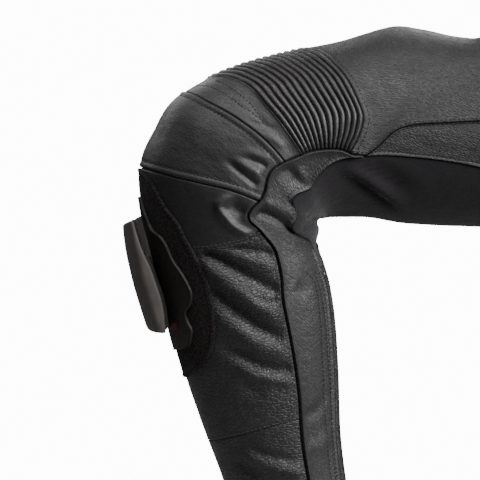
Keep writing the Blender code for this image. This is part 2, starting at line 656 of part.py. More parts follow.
def make_pucks():
    """The thick slab that touches the road, with a foot behind it that stands on the plate."""
    face = np.array(PUCK_FACE)
    slope = unit(np.gradient(face[:, :2], axis=0))
    slope[0] = slope[1]
    back = np.column_stack([-slope[:, 1], slope[:, 0]])     # from the face towards the leg
    foot = BOSS_HALF / PUCK_HALF
    across = np.array([-1, -0.8, -foot - 0.01] + [foot * k / 3 for k in range(-3, 4)] + [foot + 0.01, 0.8, 1])
    rings = []
    for row, (y, z, share, wall_here) in enumerate(face):
        start, way = np.array([y, z]), back[row]
        front, rear = [], []
        for k, side in enumerate(across):
            x = side * PUCK_HALF * share
            sag = PUCK_SAG * (side * share) ** 2
            round_off = 0.0022 if abs(side) == 1 else 0.0
            depth = sag + wall_here - round_off / 2
            if row in BOSS_ROWS and abs(side) <= foot + 0.001:
                depth = plate_depth(start, way, x, PLATE_TOP + FOOT_GAP)
            front.append((PUCK_X + x, *(start + way * (sag + round_off))))
            rear.append((PUCK_X + x, *(start + way * depth)))
        rings.append(front + rear[::-1])
    points = np.array(rings).reshape(-1, 3)
    size = 2 * len(across)
    faces = []
    for row in range(len(face) - 1):
        for k in range(size):
            a, b = row * size + k, row * size + (k + 1) % size
            faces += [(a, b + size, b), (a, a + size, b + size)]
    last = (len(face) - 1) * size
    for k in range(len(across) - 1):
        a, b, c, d = k, k + 1, size - 2 - k, size - 1 - k
        faces += [(a, b, c), (a, c, d), (last + a, last + c, last + b), (last + a, last + d, last + c)]
    make_object("slider_left", points, faces, "slider plastic")
    make_object("slider_right", *mirrored(points, faces), "slider plastic")


def make_red_inserts():
    """The small red grip on the plate, beside the slider's lower end on the outside of the knee."""
    length, width, height = INSERT
    for side, suffix in ((1, "left"), (-1, "right")):
        place, rotation = frame_at(*INSERT_AT, PLATE_TOP - INSERT_SINK, side)
        points, faces = box((-width / 2, -length / 2, 0), (width / 2, length / 2, height))
        make_object("slider_insert_" + suffix, points, faces, "red plastic", place, rotation)


# ---- zip pulls and snap ----

def frame_at(ring, angle, height, side=1):
    """A frame on the form: X across, Y down the leg, Z out, with its origin this high above it."""
    place = surface(ring, angle)
    down = surface(ring + 0.05, angle) - surface(ring - 0.05, angle)
    out = np.cross(unit(down), (1, 0, 0)) if angle == -180 else surface_normal(ring, angle)
    place, out, down = (vector * (side, 1, 1) for vector in (place + out * height, out, down))
    down = unit(down - out * (down @ out))
    across = np.cross(down, out)
    rotation = Matrix((across, down, out)).transposed()
    return Vector(place), rotation


def box(low, high):
    points = [(x, y, z) for x in (low[0], high[0]) for y in (low[1], high[1]) for z in (low[2], high[2])]
    faces = [(0, 1, 3, 2), (4, 6, 7, 5), (0, 4, 5, 1), (2, 3, 7, 6), (0, 2, 6, 4), (1, 5, 7, 3)]
    return points, faces


def helper_box(name, low, high, place, rotation):
    item = make_object(name, *box(low, high), "metal", place, rotation)
    item.hide_render = True
    item.display_type = "WIRE"
    return item


def combine(item, other, operation):
    modifier = item.modifiers.new(operation.title(), "BOOLEAN")
    modifier.operation = operation
    modifier.object = other


def make_pull(name, ring, angle, seat, side=1):
    """A zip's slider and its tab, which turns on a bar under the slider's bridge."""
    place, rotation = frame_at(ring, angle, seat, side)
    axis_height = PULL_HEIGHT + TURN_ROOM + 0.0003
    top = axis_height + TURN_ROOM + 0.0002
    half_w, half_l, post = BRIDGE_WIDTH / 2, BRIDGE_SPAN / 2, BRIDGE_SPAN / 2 + BRIDGE_WALL
    body = make_object(name + "_slider", *box((-PULL_WIDTH / 2, -PULL_LENGTH / 2, 0),
                                              (PULL_WIDTH / 2, PULL_LENGTH / 2, PULL_HEIGHT)),
                       "metal", place, rotation)
    combine(body, helper_box(name + "_bridge", (-half_w, -post, PULL_HEIGHT / 2),
                             (half_w, post, top + BRIDGE_WALL), place, rotation), "UNION")
    combine(body, helper_box(name + "_window", (-half_w * 2, -half_l, PULL_HEIGHT),
                             (half_w * 2, half_l, top), place, rotation), "DIFFERENCE")
    pivot = place + rotation @ Vector((0, 0, axis_height))
    # The tab hangs straight down or lies on the zip, whichever comes first.
    hang = max(0.0, math.atan2(-rotation[2][2], -rotation[2][1]))
    tilted = rotation @ Matrix.Rotation(hang, 3, "X")
    narrow = TAB_WIDTH / 2 * 0.72
    outline = [(-TAB_WIDTH / 2, -BAR / 2), (TAB_WIDTH / 2, -BAR / 2), (TAB_WIDTH / 2, TAB_HOLE_END + 0.001),
               (narrow, TAB_LENGTH - 0.0015), (narrow * 0.6, TAB_LENGTH), (-narrow * 0.6, TAB_LENGTH),
               (-narrow, TAB_LENGTH - 0.0015), (-TAB_WIDTH / 2, TAB_HOLE_END + 0.001)]
    points = [(x, y, z) for z in (-BAR / 2, BAR / 2) for x, y in outline]
    count = len(outline)
    faces = [tuple(range(count))[::-1], tuple(range(count, 2 * count))]
    faces += [(k, (k + 1) % count, count + (k + 1) % count, count + k) for k in range(count)]
    tab = make_object(name + "_tab", points, faces, "metal", pivot, tilted)
    combine(tab, helper_box(name + "_hole", (-TAB_HOLE_WIDTH / 2, BAR / 2, -BAR),
                            (TAB_HOLE_WIDTH / 2, TAB_HOLE_END, BAR), pivot, tilted), "DIFFERENCE")


def make_snap():
    """The domed snap that closes the waist tab on the wearer's right."""
    place, rotation = frame_at(*SNAP_AT, 2 * GAP + TAB, side=-1)
    rows = [(0.0078, 0.0), (0.0078, 0.0010), (0.0066, 0.0020), (0.0036, 0.0026)]
    sides = 20
    points = [(radius * math.cos(2 * math.pi * k / sides), radius * math.sin(2 * math.pi * k / sides), z)
              for radius, z in rows for k in range(sides)]
    faces = [tuple(range(sides))[::-1], tuple(range(3 * sides, 4 * sides))]
    for row in range(len(rows) - 1):
        for k in range(sides):
            a, b = row * sides + k, row * sides + (k + 1) % sides
            faces.append((a, b, b + sides, a + sides))
    make_object("waist_snap", points, faces, "metal", place, rotation)


# ---- the trousers ----

for item in list(bpy.data.objects):
    bpy.data.objects.remove(item, do_unlink=True)

cut = Net()
for panel_name, at_ring, at_angle, thickness, cloth_kind in PANELS:
    cloth_pair(cut, panel_name, cut.panel(at_ring, at_angle), -thickness, 0.0, cloth_kind)
cloth_pair(cut, "loop_patch", cut.within(PATCH_OUTLINE), GAP, GAP + PATCH, "loop cloth", False)
cloth_pair(cut, "slider_plate", cut.within(PLATE_OUTLINE), PLATE_TOP - PLATE, PLATE_TOP, "plate", False)

fly_faces = cut.panel(2.5, -179.5)
cloth_across(cut, "fly_zip", fly_faces, fly_faces, -TAPE, 0.0, "zip", True)
tab_halves = [cut.within(np.array([(TAB_RINGS[0], -181), (TAB_RINGS[0], angle), (TAB_RINGS[1], angle),
                                   (TAB_RINGS[1], -181)])) for angle in TAB_ENDS]
cloth_across(cut, "waist_tab", tab_halves[0], tab_halves[1], GAP, GAP + TAB, "leather", False)

make_pucks()
make_red_inserts()
for pull_side, suffix in ((1, "left"), (-1, "right")):
    make_pull("calf_pull_" + suffix, *CALF_PULL_AT, CALF_SEAT, pull_side)
make_pull("fly_pull", *FLY_PULL_AT, FLY_SEAT)
make_snap()
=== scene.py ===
"""Leather motorcycle trousers in a riding crouch: ribbed knees, stretch backs and knee sliders."""
import math

import bmesh
import bpy
import numpy as np
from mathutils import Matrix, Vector, noise
from mathutils.kdtree import KDTree


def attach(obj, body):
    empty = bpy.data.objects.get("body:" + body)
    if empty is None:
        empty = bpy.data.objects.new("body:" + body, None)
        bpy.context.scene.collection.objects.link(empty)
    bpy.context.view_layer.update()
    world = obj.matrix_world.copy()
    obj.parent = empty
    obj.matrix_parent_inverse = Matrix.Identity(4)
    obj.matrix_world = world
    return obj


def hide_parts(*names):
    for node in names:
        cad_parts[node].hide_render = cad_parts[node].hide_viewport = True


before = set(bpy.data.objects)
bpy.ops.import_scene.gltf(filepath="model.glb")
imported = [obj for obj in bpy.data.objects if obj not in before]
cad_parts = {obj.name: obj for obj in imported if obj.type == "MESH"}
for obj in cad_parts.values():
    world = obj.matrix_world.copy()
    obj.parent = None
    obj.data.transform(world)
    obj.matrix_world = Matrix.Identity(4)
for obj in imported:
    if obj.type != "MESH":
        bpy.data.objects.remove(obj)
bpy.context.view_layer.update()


# ---- Cowhide panels ----
# The trousers are sewn from panels of cowhide. Each edge is turned in at its seam, and one of the
# two panels laps over the other and is topstitched through both. The wearer's bent knee has set
# soft folds in them, and the right leg is cut as the mirror image of the left.

HIDE = 0.0016             # thickness of hide with its backing, in metres as every length here
DOUBLED_HIDE = 0.0026     # thickness of the waistband, folded double
PRESSED = 0.0001          # how far the turned edges of two panels press into each other
LAP_ROW = 0.0062          # from a lapped edge to its row of stitches
SIDES = ("left", "right")

# One row a ring, from the waist down the left leg to the hem. A ring's angle is -90 at the front or
# top, 0 on the outside, 90 at the back or underside and 180 on the inside.
# front y, front z, back y, back z, outer x, inner x, front leg share, back leg share, inside bias. The last
# three are 1, 1 and 0 where they are left out.
RINGS = np.array([(*row, 1, 1, 0)[:9] for row in [
    (-0.1085, -0.0395, 0.1085, 0.0395, 0.155, 0.000, 0.00, 0.00, 0.00),     # waist edge
    (-0.105, -0.071, 0.119, 0.004, 0.163, 0.000, 0.00, 0.00, 0.00),         # foot of the waistband
    (-0.104, -0.092, 0.145, -0.055, 0.176, 0.000, 0.10, 0.00, 0.10),
    (-0.112, -0.103, 0.160, -0.115, 0.184, 0.000, 0.28, 0.02, 0.20),
    (-0.124, -0.109, 0.162, -0.172, 0.189, 0.000, 0.50, 0.06, 0.30),        # seat
    (-0.138, -0.112, 0.145, -0.228, 0.192, 0.000, 0.75, 0.18, 0.35),
    (-0.154, -0.114, 0.103, -0.272, 0.194, 0.000, 0.93, 0.50, 0.35),
    (-0.172, -0.114, 0.040, -0.299, 0.196, 0.000, 1.00, 1.00, 0.35),        # crotch
    (-0.192, -0.114, -0.040, -0.310, 0.199, 0.008, 1.00, 1.00, 0.18),
    (-0.211, -0.116, -0.125, -0.313, 0.204, 0.020, 1.00, 1.00, 0.05),
    (-0.231, -0.121, -0.204, -0.312, 0.210, 0.035),                         # mid thigh
    (-0.270, -0.133, -0.240, -0.306, 0.217, 0.052),
    (-0.313, -0.143, -0.270, -0.305, 0.224, 0.070),
    (-0.352, -0.153, -0.284, -0.305, 0.231, 0.086),
    (-0.385, -0.164, -0.289, -0.306, 0.237, 0.097),
    (-0.413, -0.178, -0.292, -0.307, 0.241, 0.103),
    (-0.437, -0.195, -0.293, -0.309, 0.243, 0.107),
    (-0.453, -0.222, -0.293, -0.311, 0.244, 0.109),                         # knee
    (-0.464, -0.247, -0.293, -0.315, 0.244, 0.110),
    (-0.465, -0.272, -0.294, -0.321, 0.243, 0.111),
    (-0.461, -0.299, -0.296, -0.329, 0.241, 0.112),
    (-0.453, -0.330, -0.295, -0.337, 0.239, 0.112),
    (-0.444, -0.367, -0.290, -0.350, 0.237, 0.111),
    (-0.436, -0.405, -0.284, -0.373, 0.235, 0.109),
    (-0.425, -0.448, -0.279, -0.406, 0.232, 0.108),                         # calf
    (-0.410, -0.494, -0.276, -0.451, 0.227, 0.108),
    (-0.388, -0.553, -0.273, -0.516, 0.219, 0.108),
    (-0.369, -0.606, -0.264, -0.578, 0.212, 0.108),
    (-0.351, -0.656, -0.253, -0.636, 0.206, 0.106),                         # hem
]])
HEM = len(RINGS) - 1
CROTCH = 7                # from this ring down, a ring closes on the inside of the leg
FORK = (11.0, 18)         # where three seams meet above the knee
SEAT_END = 6.6            # ring at which the stretch cloth ends on the back rise
ZIP_TOP = 22.1            # ring at which the calf zip starts
FLY_END = 4.6             # ring at which the fly zip stops
FLY_HALF = 0.006          # half the width of zip tape that shows at the fly
PAST_MIDDLE = 180.001     # an angle just past the inside of the leg


def catmull(rows, places):
    """Values at places along a smooth Catmull-Rom curve through rows, counted in rows."""
    rows, places = np.asarray(rows, float), np.asarray(places, float)
    padded = np.vstack([2 * rows[0] - rows[1], rows, 2 * rows[-1] - rows[-2]])
    k = np.minimum(places.astype(int), len(rows) - 2)
    t = (places - k)[..., None]
    a, b, c, d = (padded[k + step] for step in range(4))
    return 0.5 * (2 * b + (c - a) * t + (2 * a - 5 * b + 4 * c - d) * t ** 2
                  + (3 * b - a - 3 * c + d) * t ** 3)


def surface(ring, angle):
    """Points of the left half's form. Past 180 the angle goes on round to the front."""
    values = catmull(RINGS, np.clip(np.asarray(ring, float), 0, HEM))
    angle = np.asarray(angle, float)
    angle = np.radians(np.where(angle > 180, angle - 360, angle))
    front, back = values[..., 0:2], values[..., 2:4]
    outer, inner = values[..., 4], np.maximum(values[..., 5], 0)
    share = np.clip(np.where(angle < 0, values[..., 6], values[..., 7]), 0, 1)
    leg_x = (outer + inner) / 2 + (outer - inner) / 2 * np.cos(angle)
    leg_s = np.sin(angle) + values[..., 8] * (1 - np.cos(angle)) / 2
    half = angle / 2
    hip_x = outer * np.abs(np.cos(half)) ** 0.85
    hip_s = np.sign(half) * np.abs(np.sin(half)) ** 0.9
    x = (1 - share) * hip_x + share * leg_x
    s = (1 - share) * hip_s + share * leg_s
    yz = (front + back) / 2 + (back - front) / 2 * s[..., None]
    return np.concatenate([np.maximum(x, 0)[..., None], yz], axis=-1)


def unit(vector):
    """Each vector at length 1."""
    return vector / np.maximum(np.linalg.norm(vector, axis=-1, keepdims=True), 1e-12)


def normal(ring, angle):
    """Which way the form faces. On the mid plane it faces along that plane."""
    ring, angle = np.broadcast_arrays(np.asarray(ring, float), np.asarray(angle, float))
    angle = np.where(angle > 180, angle - 360, angle)
    upper, at_mid = ring < CROTCH, np.abs(angle) > 179.99
    low = np.where(upper, np.maximum(angle - 0.5, -180), angle - 0.5)
    high = np.where(upper, np.minimum(angle + 0.5, 180), angle + 0.5)
    high = np.where(high > 180, high - 360, high)
    down = surface(ring + 0.02, angle) - surface(ring - 0.02, angle)
    way = np.cross(down, surface(ring, high) - surface(ring, low))
    way[..., 0] = np.where(upper & at_mid, 0, way[..., 0])
    return unit(way)


def smooth(points, steps=12):
    """A curve through (ring, angle) points, or a straight line between two."""
    points = np.array(points, float)
    if len(points) < 3:
        return points[0] + (points[1] - points[0]) * np.linspace(0, 1, 61)[:, None]
    return catmull(points, np.arange((len(points) - 1) * steps + 1) / steps)


def meet(a, b):
    """Where two paths cross: the place along each, counted in its points."""
    r, s = np.diff(a, axis=0)[:, None], np.diff(b, axis=0)[None]
    gap = b[None, :-1] - a[:-1, None]
    cross = r[..., 0] * s[..., 1] - r[..., 1] * s[..., 0]
    cross[cross == 0] = 1e-12
    t = (gap[..., 0] * s[..., 1] - gap[..., 1] * s[..., 0]) / cross
    u = (gap[..., 0] * r[..., 1] - gap[..., 1] * r[..., 0]) / cross
    i, j = np.argwhere((t >= 0) & (t <= 1) & (u >= 0) & (u <= 1))[0]
    return i + t[i, j], j + u[i, j]


def stretch_of(path, first, last):
    """A path's stretch between two places along it, in either direction."""
    if first > last:
        return stretch_of(path, last, first)[::-1]
    places = np.array([first, *range(math.floor(first) + 1, math.ceil(last)), last])
    return np.column_stack([np.interp(places, np.arange(len(path)), column) for column in path.T])


def lengths(path):
    """The length along the form at each of a path's points."""
    return np.concatenate([[0], np.cumsum(np.linalg.norm(np.diff(surface(*path.T), axis=0), axis=1))])


def along(path, shares):
    """Points at shares of a path's length."""
    length = lengths(path)
    return np.column_stack([np.interp(np.asarray(shares) * length[-1], length, column) for column in path.T])


def angle_at_x(ring, x):
    """Angle on the front, between the inside and the top, at which the ring is x from the mid plane."""
    low, high = -180.0, -90.0
    for _ in range(40):
        middle = (low + high) / 2
        low, high = (middle, high) if surface(ring, middle)[0] < x else (low, middle)
    return low


# Seams of the left half: (ring, angle) along each.
SEAMS = {name: smooth(points) for name, points in {
    "outer_thigh": [(1, 4), (3, 2), (6, 0), (9, 0), (10, 2), (10.6, 12), FORK],
    "outer_leg": [FORK, (11.35, 16), (11.7, 12), (12.5, 11), (13.5, 13), (15, 14), (16, 17), (16.8, 19),
                  (17.8, 18), (19.1, 12), (19.8, 20), (20.9, 28), (22.2, 27), (23.1, 24), (25, 25),
                  (26, 22), (HEM, 21)],
    "back_outer": [(6, 180), (6.05, 160), (6.5, 105), (7.6, 50), (8.4, 32), (9.2, 22), (10.1, 18), FORK,
                   (11.8, 20), (12.5, 27), (13.3, 36), (14, 38), (16, 38), (16.8, 44), (18, 46),
                   (19.1, 43), (19.5, 50), (19.8, 64), (20.8, 70), (ZIP_TOP, 70), (23, 72), (24, 69),
                   (25.2, 67), (26.4, 61), (HEM, 54)],
    "back_inner": [(SEAT_END, 180), (7.2, 175), (8, 168), (9, 162), (11, 156), (12.4, 150), (14, 147),
                   (16.6, 146), (18.2, 139), (19.2, 122), (19.8, 104), (20.4, 90), (21.2, 84),
                   (ZIP_TOP, 83), (23, 84), (24, 81), (25.2, 80), (26.4, 75), (HEM, 69)],
    "inner_front": [(5, -180), (6, -172), (7, -166), (8.5, -162), (10, -156), (11.5, -152), (13, -152),
                    (16, -149), (17.7, -152), (19.5, -157), (22, -161), (25, -159), (HEM, -156)],
    "ribs_top": [(11.5, 22), (11.33, 13), (11.12, 6), (10.97, -1), (10.89, -8), (10.96, -18), (11.12, -34),
                 (11.39, -52), (11.66, -70), (11.83, -80), (11.88, -90), (11.83, -100), (11.66, -110),
                 (11.39, -128), (11.12, -146), (11.1, -175)],
    "ribs_foot": [(12.85, 22), (12.97, 10), (13.25, -15), (13.43, -29), (13.57, -44), (13.99, -64),
                  (14.36, -79), (14.45, -90), (14.36, -101), (13.99, -116), (13.57, -136), (13.43, -151),
                  (13.4, -175)],
    "cap_top": [(14.1, 22), (14.12, 12), (14.28, -4), (14.66, -25), (15.04, -46), (15.2, -61), (15.4, -90),
                (15.2, -119), (15.04, -134), (14.8, -150), (14.7, -175)],
    "cap_foot": [(17.74, 26), (17.77, 4), (18.09, -21), (18.29, -46), (18.38, -90), (18.29, -134),
                 (18.1, -155), (18, -175)],
    "shin_top": [(19.4, 27), (19.86, 19), (20.27, 14), (20.6, 7), (20.94, -11), (21.07, -31), (21.1, -90),
                 (21.07, -149), (21, -175)],
    "shin_foot": [(25.55, 36), (25.51, 15), (25.47, -36), (25.45, -90), (25.5, -175)],
}.items()}

# Rows of points beside a seam, as distances from it: close enough for the turned edge and the stitches.
EDGE_ROWS = np.array([0, 0.5, 1.1, 1.8, 2.6, 3.4, 4.4, 5.4, 6.2, 7.2]) / 1000


def spacing(length, step):
    """Shares of a length at which a panel has points, close together beside its seams."""
    if length < 0.03:
        return np.linspace(0, 1, max(4, round(length / 0.0009)))
    edge = EDGE_ROWS[-1]
    middle = np.linspace(edge, length - edge, max(2, round((length - 2 * edge) / step)))
    return np.concatenate([EDGE_ROWS[:-1], middle, length - EDGE_ROWS[-2::-1]]) / length


def panel_grid(left, right, top, foot, step, down=None):
    """(ring, angle) points over a panel between its four edges: rows go down it, columns across."""
    middle = smooth([along(left, [0.5])[0], along(right, [0.5])[0]])
    across = spacing(max(lengths(line)[-1] for line in (top, foot, middle)), step)
    if down is None:
        down = spacing(max(lengths(left)[-1], lengths(right)[-1]), step)
    t, f, l, r = along(top, across), along(foot, across), along(left, down), along(right, down)
    u, v = across[None, :, None], np.asarray(down)[:, None, None]
    return ((1 - v) * t + v * f + (1 - u) * l[:, None] + u * r[:, None]
            - (1 - v) * ((1 - u) * t[0] + u * t[-1]) - v * ((1 - u) * f[0] + u * f[-1]))


def straight(a, b):
    """A straight line between two (ring, angle) points."""
    return smooth([a, b])


def part_of(path, first, last):
    """A seam's stretch between the points nearest to these two."""
    ends = [int(np.argmin(np.abs(path - point).sum(axis=1))) for point in (first, last)]
    return stretch_of(path, *ends)


def cross_panel(top, foot):
    """The left, right, top and foot edges of a panel that runs over the front between two cross seams."""
    outer, inner = SEAMS["outer_leg"], SEAMS["inner_front"]
    ends = []
    for seam in (top, foot):
        if seam == "hem":
            ends.append((len(outer) - 1, len(inner) - 1, straight((HEM, -156), (HEM, 21))))
        else:
            (o, c_outer), (i, c_inner) = meet(outer, SEAMS[seam]), meet(inner, SEAMS[seam])
            ends.append((o, i, stretch_of(SEAMS[seam], c_inner, c_outer)))
    (o1, i1, upper), (o2, i2, lower) = ends
    return stretch_of(inner, i1, i2), stretch_of(outer, o1, o2), upper, lower


def panel_edges(name):
    """The left, right, top and foot edges of a panel, as paths of (ring, angle) points."""
    s = SEAMS
    fly = np.array([(r, angle_at_x(r, FLY_HALF)) for r in np.linspace(1, FLY_END, 25)])
    outer_top, ribs_outer = meet(s["outer_leg"], s["ribs_top"])
    inner_top, ribs_inner = meet(s["inner_front"], s["ribs_top"])
    back_inner = s["back_inner"]
    if name == "waistband":
        return straight((0, -180), (1, -180)), straight((0, 180), (1, 180)), straight((0, -180), (0, 180)), \
            straight((1, -180), (1, 180))
    if name == "thigh_front":
        left = np.vstack([fly, [(FLY_END, -180)], stretch_of(s["inner_front"], 0, inner_top)])
        right = np.vstack([s["outer_thigh"][:-1], stretch_of(s["outer_leg"], 0, outer_top)])
        return left, right, straight(fly[0], (1, 4)), stretch_of(s["ribs_top"], ribs_inner, ribs_outer)
    if name == "seat":
        return s["outer_thigh"], straight((1, 180), (6, 180)), straight((1, 4), (1, 180)), \
            part_of(s["back_outer"], FORK, (6, 180))
    if name == "stretch_back":
        return part_of(s["back_outer"], (6, 180), (ZIP_TOP, 70)), \
            part_of(back_inner, (SEAT_END, 180), (ZIP_TOP, 83)), \
            straight((6, 180), (SEAT_END, 180)), straight((ZIP_TOP, 70), (ZIP_TOP, 83))
    if name == "side_outer":
        return s["outer_leg"], part_of(s["back_outer"], FORK, (HEM, 54)), straight(FORK, FORK), \
            straight((HEM, 21), (HEM, 54))
    if name == "side_inner":
        front = s["inner_front"] + (0, 360)
        front[:, 1] = np.maximum(front[:, 1], PAST_MIDDLE)
        top = np.vstack([straight((SEAT_END, 180), (CROTCH, 180)),
                         straight((CROTCH, PAST_MIDDLE), (5, PAST_MIDDLE))])
        return back_inner, front, top, straight((HEM, 69), (HEM, 204))
    if name == "calf_zip":
        return part_of(s["back_outer"], (ZIP_TOP, 70), (HEM, 54)), \
            part_of(back_inner, (ZIP_TOP, 83), (HEM, 69)), \
            straight((ZIP_TOP, 70), (ZIP_TOP, 83)), straight((HEM, 54), (HEM, 69))
    if name == "fly_zip":
        return np.column_stack([fly[:, 0], np.full(len(fly), -180.0)]), fly, straight((1, -180), fly[0]), \
            straight((FLY_END, -180), fly[-1])
    return cross_panel(*CROSS[name])


CROSS = {"rib_panel": ("ribs_top", "ribs_foot"), "knee_strip": ("ribs_foot", "cap_top"),
         "knee_cap": ("cap_top", "cap_foot"), "under_knee": ("cap_foot", "shin_top"),
         "shin": ("shin_top", "shin_foot"), "shin_lower": ("shin_foot", "hem")}

# How each panel's left, right, top and foot edges are sewn, and the distance between its points.
PANELS = {
    "waistband": ("mid", "mid", "hem", "over", 0.0042),
    "thigh_front": ("level", "level", "under", "over", 0.0050),
    "seat": ("level", "level", "under", "over", 0.0060),
    "stretch_back": ("under", "under", "under", "under", 0.0050),
    "rib_panel": ("under", "under", "under", "under", 0.0028),
    "knee_strip": ("under", "under", "proud", "under", 0.0022),
    "knee_cap": ("under", "under", "over", "over", 0.0022),
    "under_knee": ("under", "under", "under", "close", 0.0022),
    "shin": ("under", "under", "close", "close", 0.0024),
    "shin_lower": ("under", "under", "close", "hem", 0.0024),
    "side_outer": ("proud", "proud", "level", "hem", 0.0024),
    "side_inner": ("proud", "proud", "level", "hem", 0.0055),
    "calf_zip": ("under", "under", "under", "hem", 0.0025),
}

# Soft folds of each panel: height and half width in mm, shares of its length over which it fades in and
# out, (ring, angle) along it. The inside of the leg has the same folds.
FOLDS = {
    "knee_cap": [
        (-1.9, 2.2, 0.4, 0.1, [(15.92, -3), (15.49, 4), (15.22, 11)]),
        (1.1, 4.0, 0.5, 0.1, [(15.72, -9), (15.21, 0), (14.81, 8)]),
        (-2.9, 3.0, 0.5, 0.1, [(16.5, -14), (16.54, -5), (16.65, 5), (16.74, 14)]),
        (1.8, 4.0, 0.5, 0.1, [(16.22, -9), (16.17, 2), (16.05, 12)]),
        (-0.6, 1.6, 0.5, 0.3, [(16.96, -8), (17.07, 2), (17.17, 9)])],
    "knee_strip": [
        (-1.2, 2.0, 0.4, 0.3, [(14.46, -21), (14.14, -17), (13.84, -13), (13.46, -7)]),
        (1.0, 4.0, 0.5, 0.1, [(14.4, -14), (14.04, -5), (13.66, 4)])],
    "under_knee": [
        (3.8, 3.4, 0.3, 0.2, [(17.94, 5), (18.2, 0), (18.56, -4), (18.96, -7), (19.31, -5), (19.55, -2),
                              (19.8, 1), (20.02, 6), (20.14, 11), (20, 17)]),
        (-3.6, 6.5, 0.3, 0.3, [(18.65, -1), (18.85, 5), (19.19, 11)])],
    "shin": [
        (-2.4, 4.0, 0.3, 0.2, [(20.98, -10), (21, 0), (21.05, 9), (21.14, 20), (21.32, 28)]),
        (1.8, 5.0, 0.3, 0.2, [(21.16, -10), (21.27, -1), (21.44, 7), (21.72, 17), (22, 25)]),
        (-4.6, 5.2, 0.15, 0.1, [(21.16, -27), (21.32, -20), (21.56, -11), (21.87, -2), (22.19, 7),
                                (22.48, 15), (22.74, 24)]),
        (3.8, 7.0, 0.12, 0.1, [(21.34, -26), (21.74, -21), (22.14, -13), (22.59, -4), (23.01, 6),
                               (23.49, 20)]),
        (-1.9, 1.8, 0.3, 0.1, [(22.68, 4), (22.83, 7), (22.94, 12), (22.98, 21)]),
        (-4.8, 6.0, 0.2, 0.1, [(22.16, -27), (22.55, -22), (22.92, -14), (23.25, -6), (23.62, 4),
                               (24.01, 21)]),
        (2.6, 8.0, 0.2, 0.1, [(22.81, -27), (23.22, -20), (23.6, -9), (23.99, 2), (24.41, 22)]),
        (-2.8, 5.0, 0.3, 0.1, [(23.73, -31), (23.91, -22), (24.13, -12), (24.41, -1), (24.6, 11),
                               (24.67, 23)]),
        (2.2, 5.0, 0.3, 0.1, [(24.05, -30), (24.31, -17), (24.58, -7), (24.77, 7), (24.95, 22)]),
        (-1.6, 6.0, 0.3, 0.4, [(24.62, -22), (24.86, -11), (25.05, 0)])],
    "shin_lower": [
        (-1.6, 3.0, 0.3, 0.1, [(25.6, -29), (25.77, -20), (25.92, -6), (26.08, 12)]),
        (3.1, 6.0, 0.3, 0.1, [(25.64, -37), (25.86, -26), (26.04, -13), (26.2, 5), (26.3, 18)]),
        (-3.2, 6.0, 0.3, 0.3, [(25.76, -49), (25.99, -36), (26.21, -24)]),
        (2.1, 7.0, 0.3, 0.3, [(26.7, -40), (26.9, -20), (27, 5)]),
        (-2.3, 6.0, 0.3, 0.3, [(26.9, -50), (27.2, -20), (27.3, 8)])],
    "side": [
        (-4.5, 4.0, 0.1, 0.1, [(18.6, 17), (18.57, 28), (18.91, 38), (19.24, 49)]),
        (1.6, 5.0, 0.2, 0.2, [(17.82, 19), (17.64, 29), (17.71, 40), (18.3, 47)]),
        (-2.1, 4.0, 0.3, 0.3, [(14.13, 15), (13.98, 25), (13.84, 35)]),
        (1.3, 4.0, 0.3, 0.3, [(13.73, 21), (13.56, 27), (13.33, 33)]),
        (-2.6, 6.5, 0.3, 0.3, [(14.1, 12), (14.34, 18), (14.47, 25), (14.71, 35)]),
        (-1.6, 7.0, 0.4, 0.4, [(22.57, 37), (22.78, 42), (23.02, 49)]),
        (-1.6, 6.0, 0.3, 0.3, [(25.4, 24), (25.5, 40), (25.2, 60)]),
        (1.6, 7.0, 0.3, 0.3, [(25.9, 24), (26, 40), (25.8, 58)])],
    "stretch_back": [
        (-3.0, 3.4, 0.3, 0.4, [(10.99, 20), (10.52, 25), (10.11, 33), (9.65, 44)]),
        (-4.2, 3.6, 0.3, 0.4, [(11.42, 21), (11.03, 26), (10.56, 32), (10.13, 39), (9.7, 50)]),
        (3.6, 5.5, 0.3, 0.4, [(11.77, 22), (11.42, 27), (10.94, 37), (10.35, 49), (9.9, 60)]),
        (-4.2, 3.8, 0.4, 0.4, [(11.99, 25), (11.52, 33), (10.98, 45), (10.43, 56), (10.1, 66)]),
        (-2.7, 2.5, 0.2, 0.2, [(17.05, 55), (16.46, 64), (15.3, 77)]),
        (-2.1, 2.5, 0.2, 0.2, [(18.93, 52), (18.37, 59), (17.5, 71)]),
        (-1.0, 4.0, 0.3, 0.3, [(16.6, 60), (16.5, 92), (16.6, 125)]),
        (1.5, 12.0, 0.4, 0.4, [(8.9, 60), (8.6, 95), (8.9, 135)]),
        (-1.8, 10.0, 0.4, 0.4, [(8.3, 65), (8.1, 95), (8.4, 130)])],
    "thigh_front": [
        (-1.4, 7.0, 0.4, 0.4, [(10.64, -37), (10.31, -24), (10.02, -14)]),
        (-1.0, 6.0, 0.4, 0.4, [(10.89, -23), (10.61, -14), (10.32, -7)]),
        (-4.8, 9.0, 0.3, 0.3, [(2.6, -12), (3, -45), (3.9, -85), (5.2, -130), (6.2, -155)]),
        (3.6, 10.0, 0.3, 0.3, [(3.3, -8), (3.8, -45), (4.8, -85), (6, -125), (6.8, -148)]),
        (-3.0, 8.0, 0.3, 0.4, [(4.2, -20), (4.9, -55), (6, -90), (7, -120)])],
    "seat": [
        (-2.5, 10.0, 0.4, 0.4, [(2.6, 25), (3, 60), (3.6, 100)]),
        (-2.5, 8.0, 0.3, 0.4, [(5.6, 165), (5.4, 120), (5.8, 85)]),
        (2.0, 8.0, 0.3, 0.4, [(5, 165), (4.8, 120), (5.2, 85)])],
}

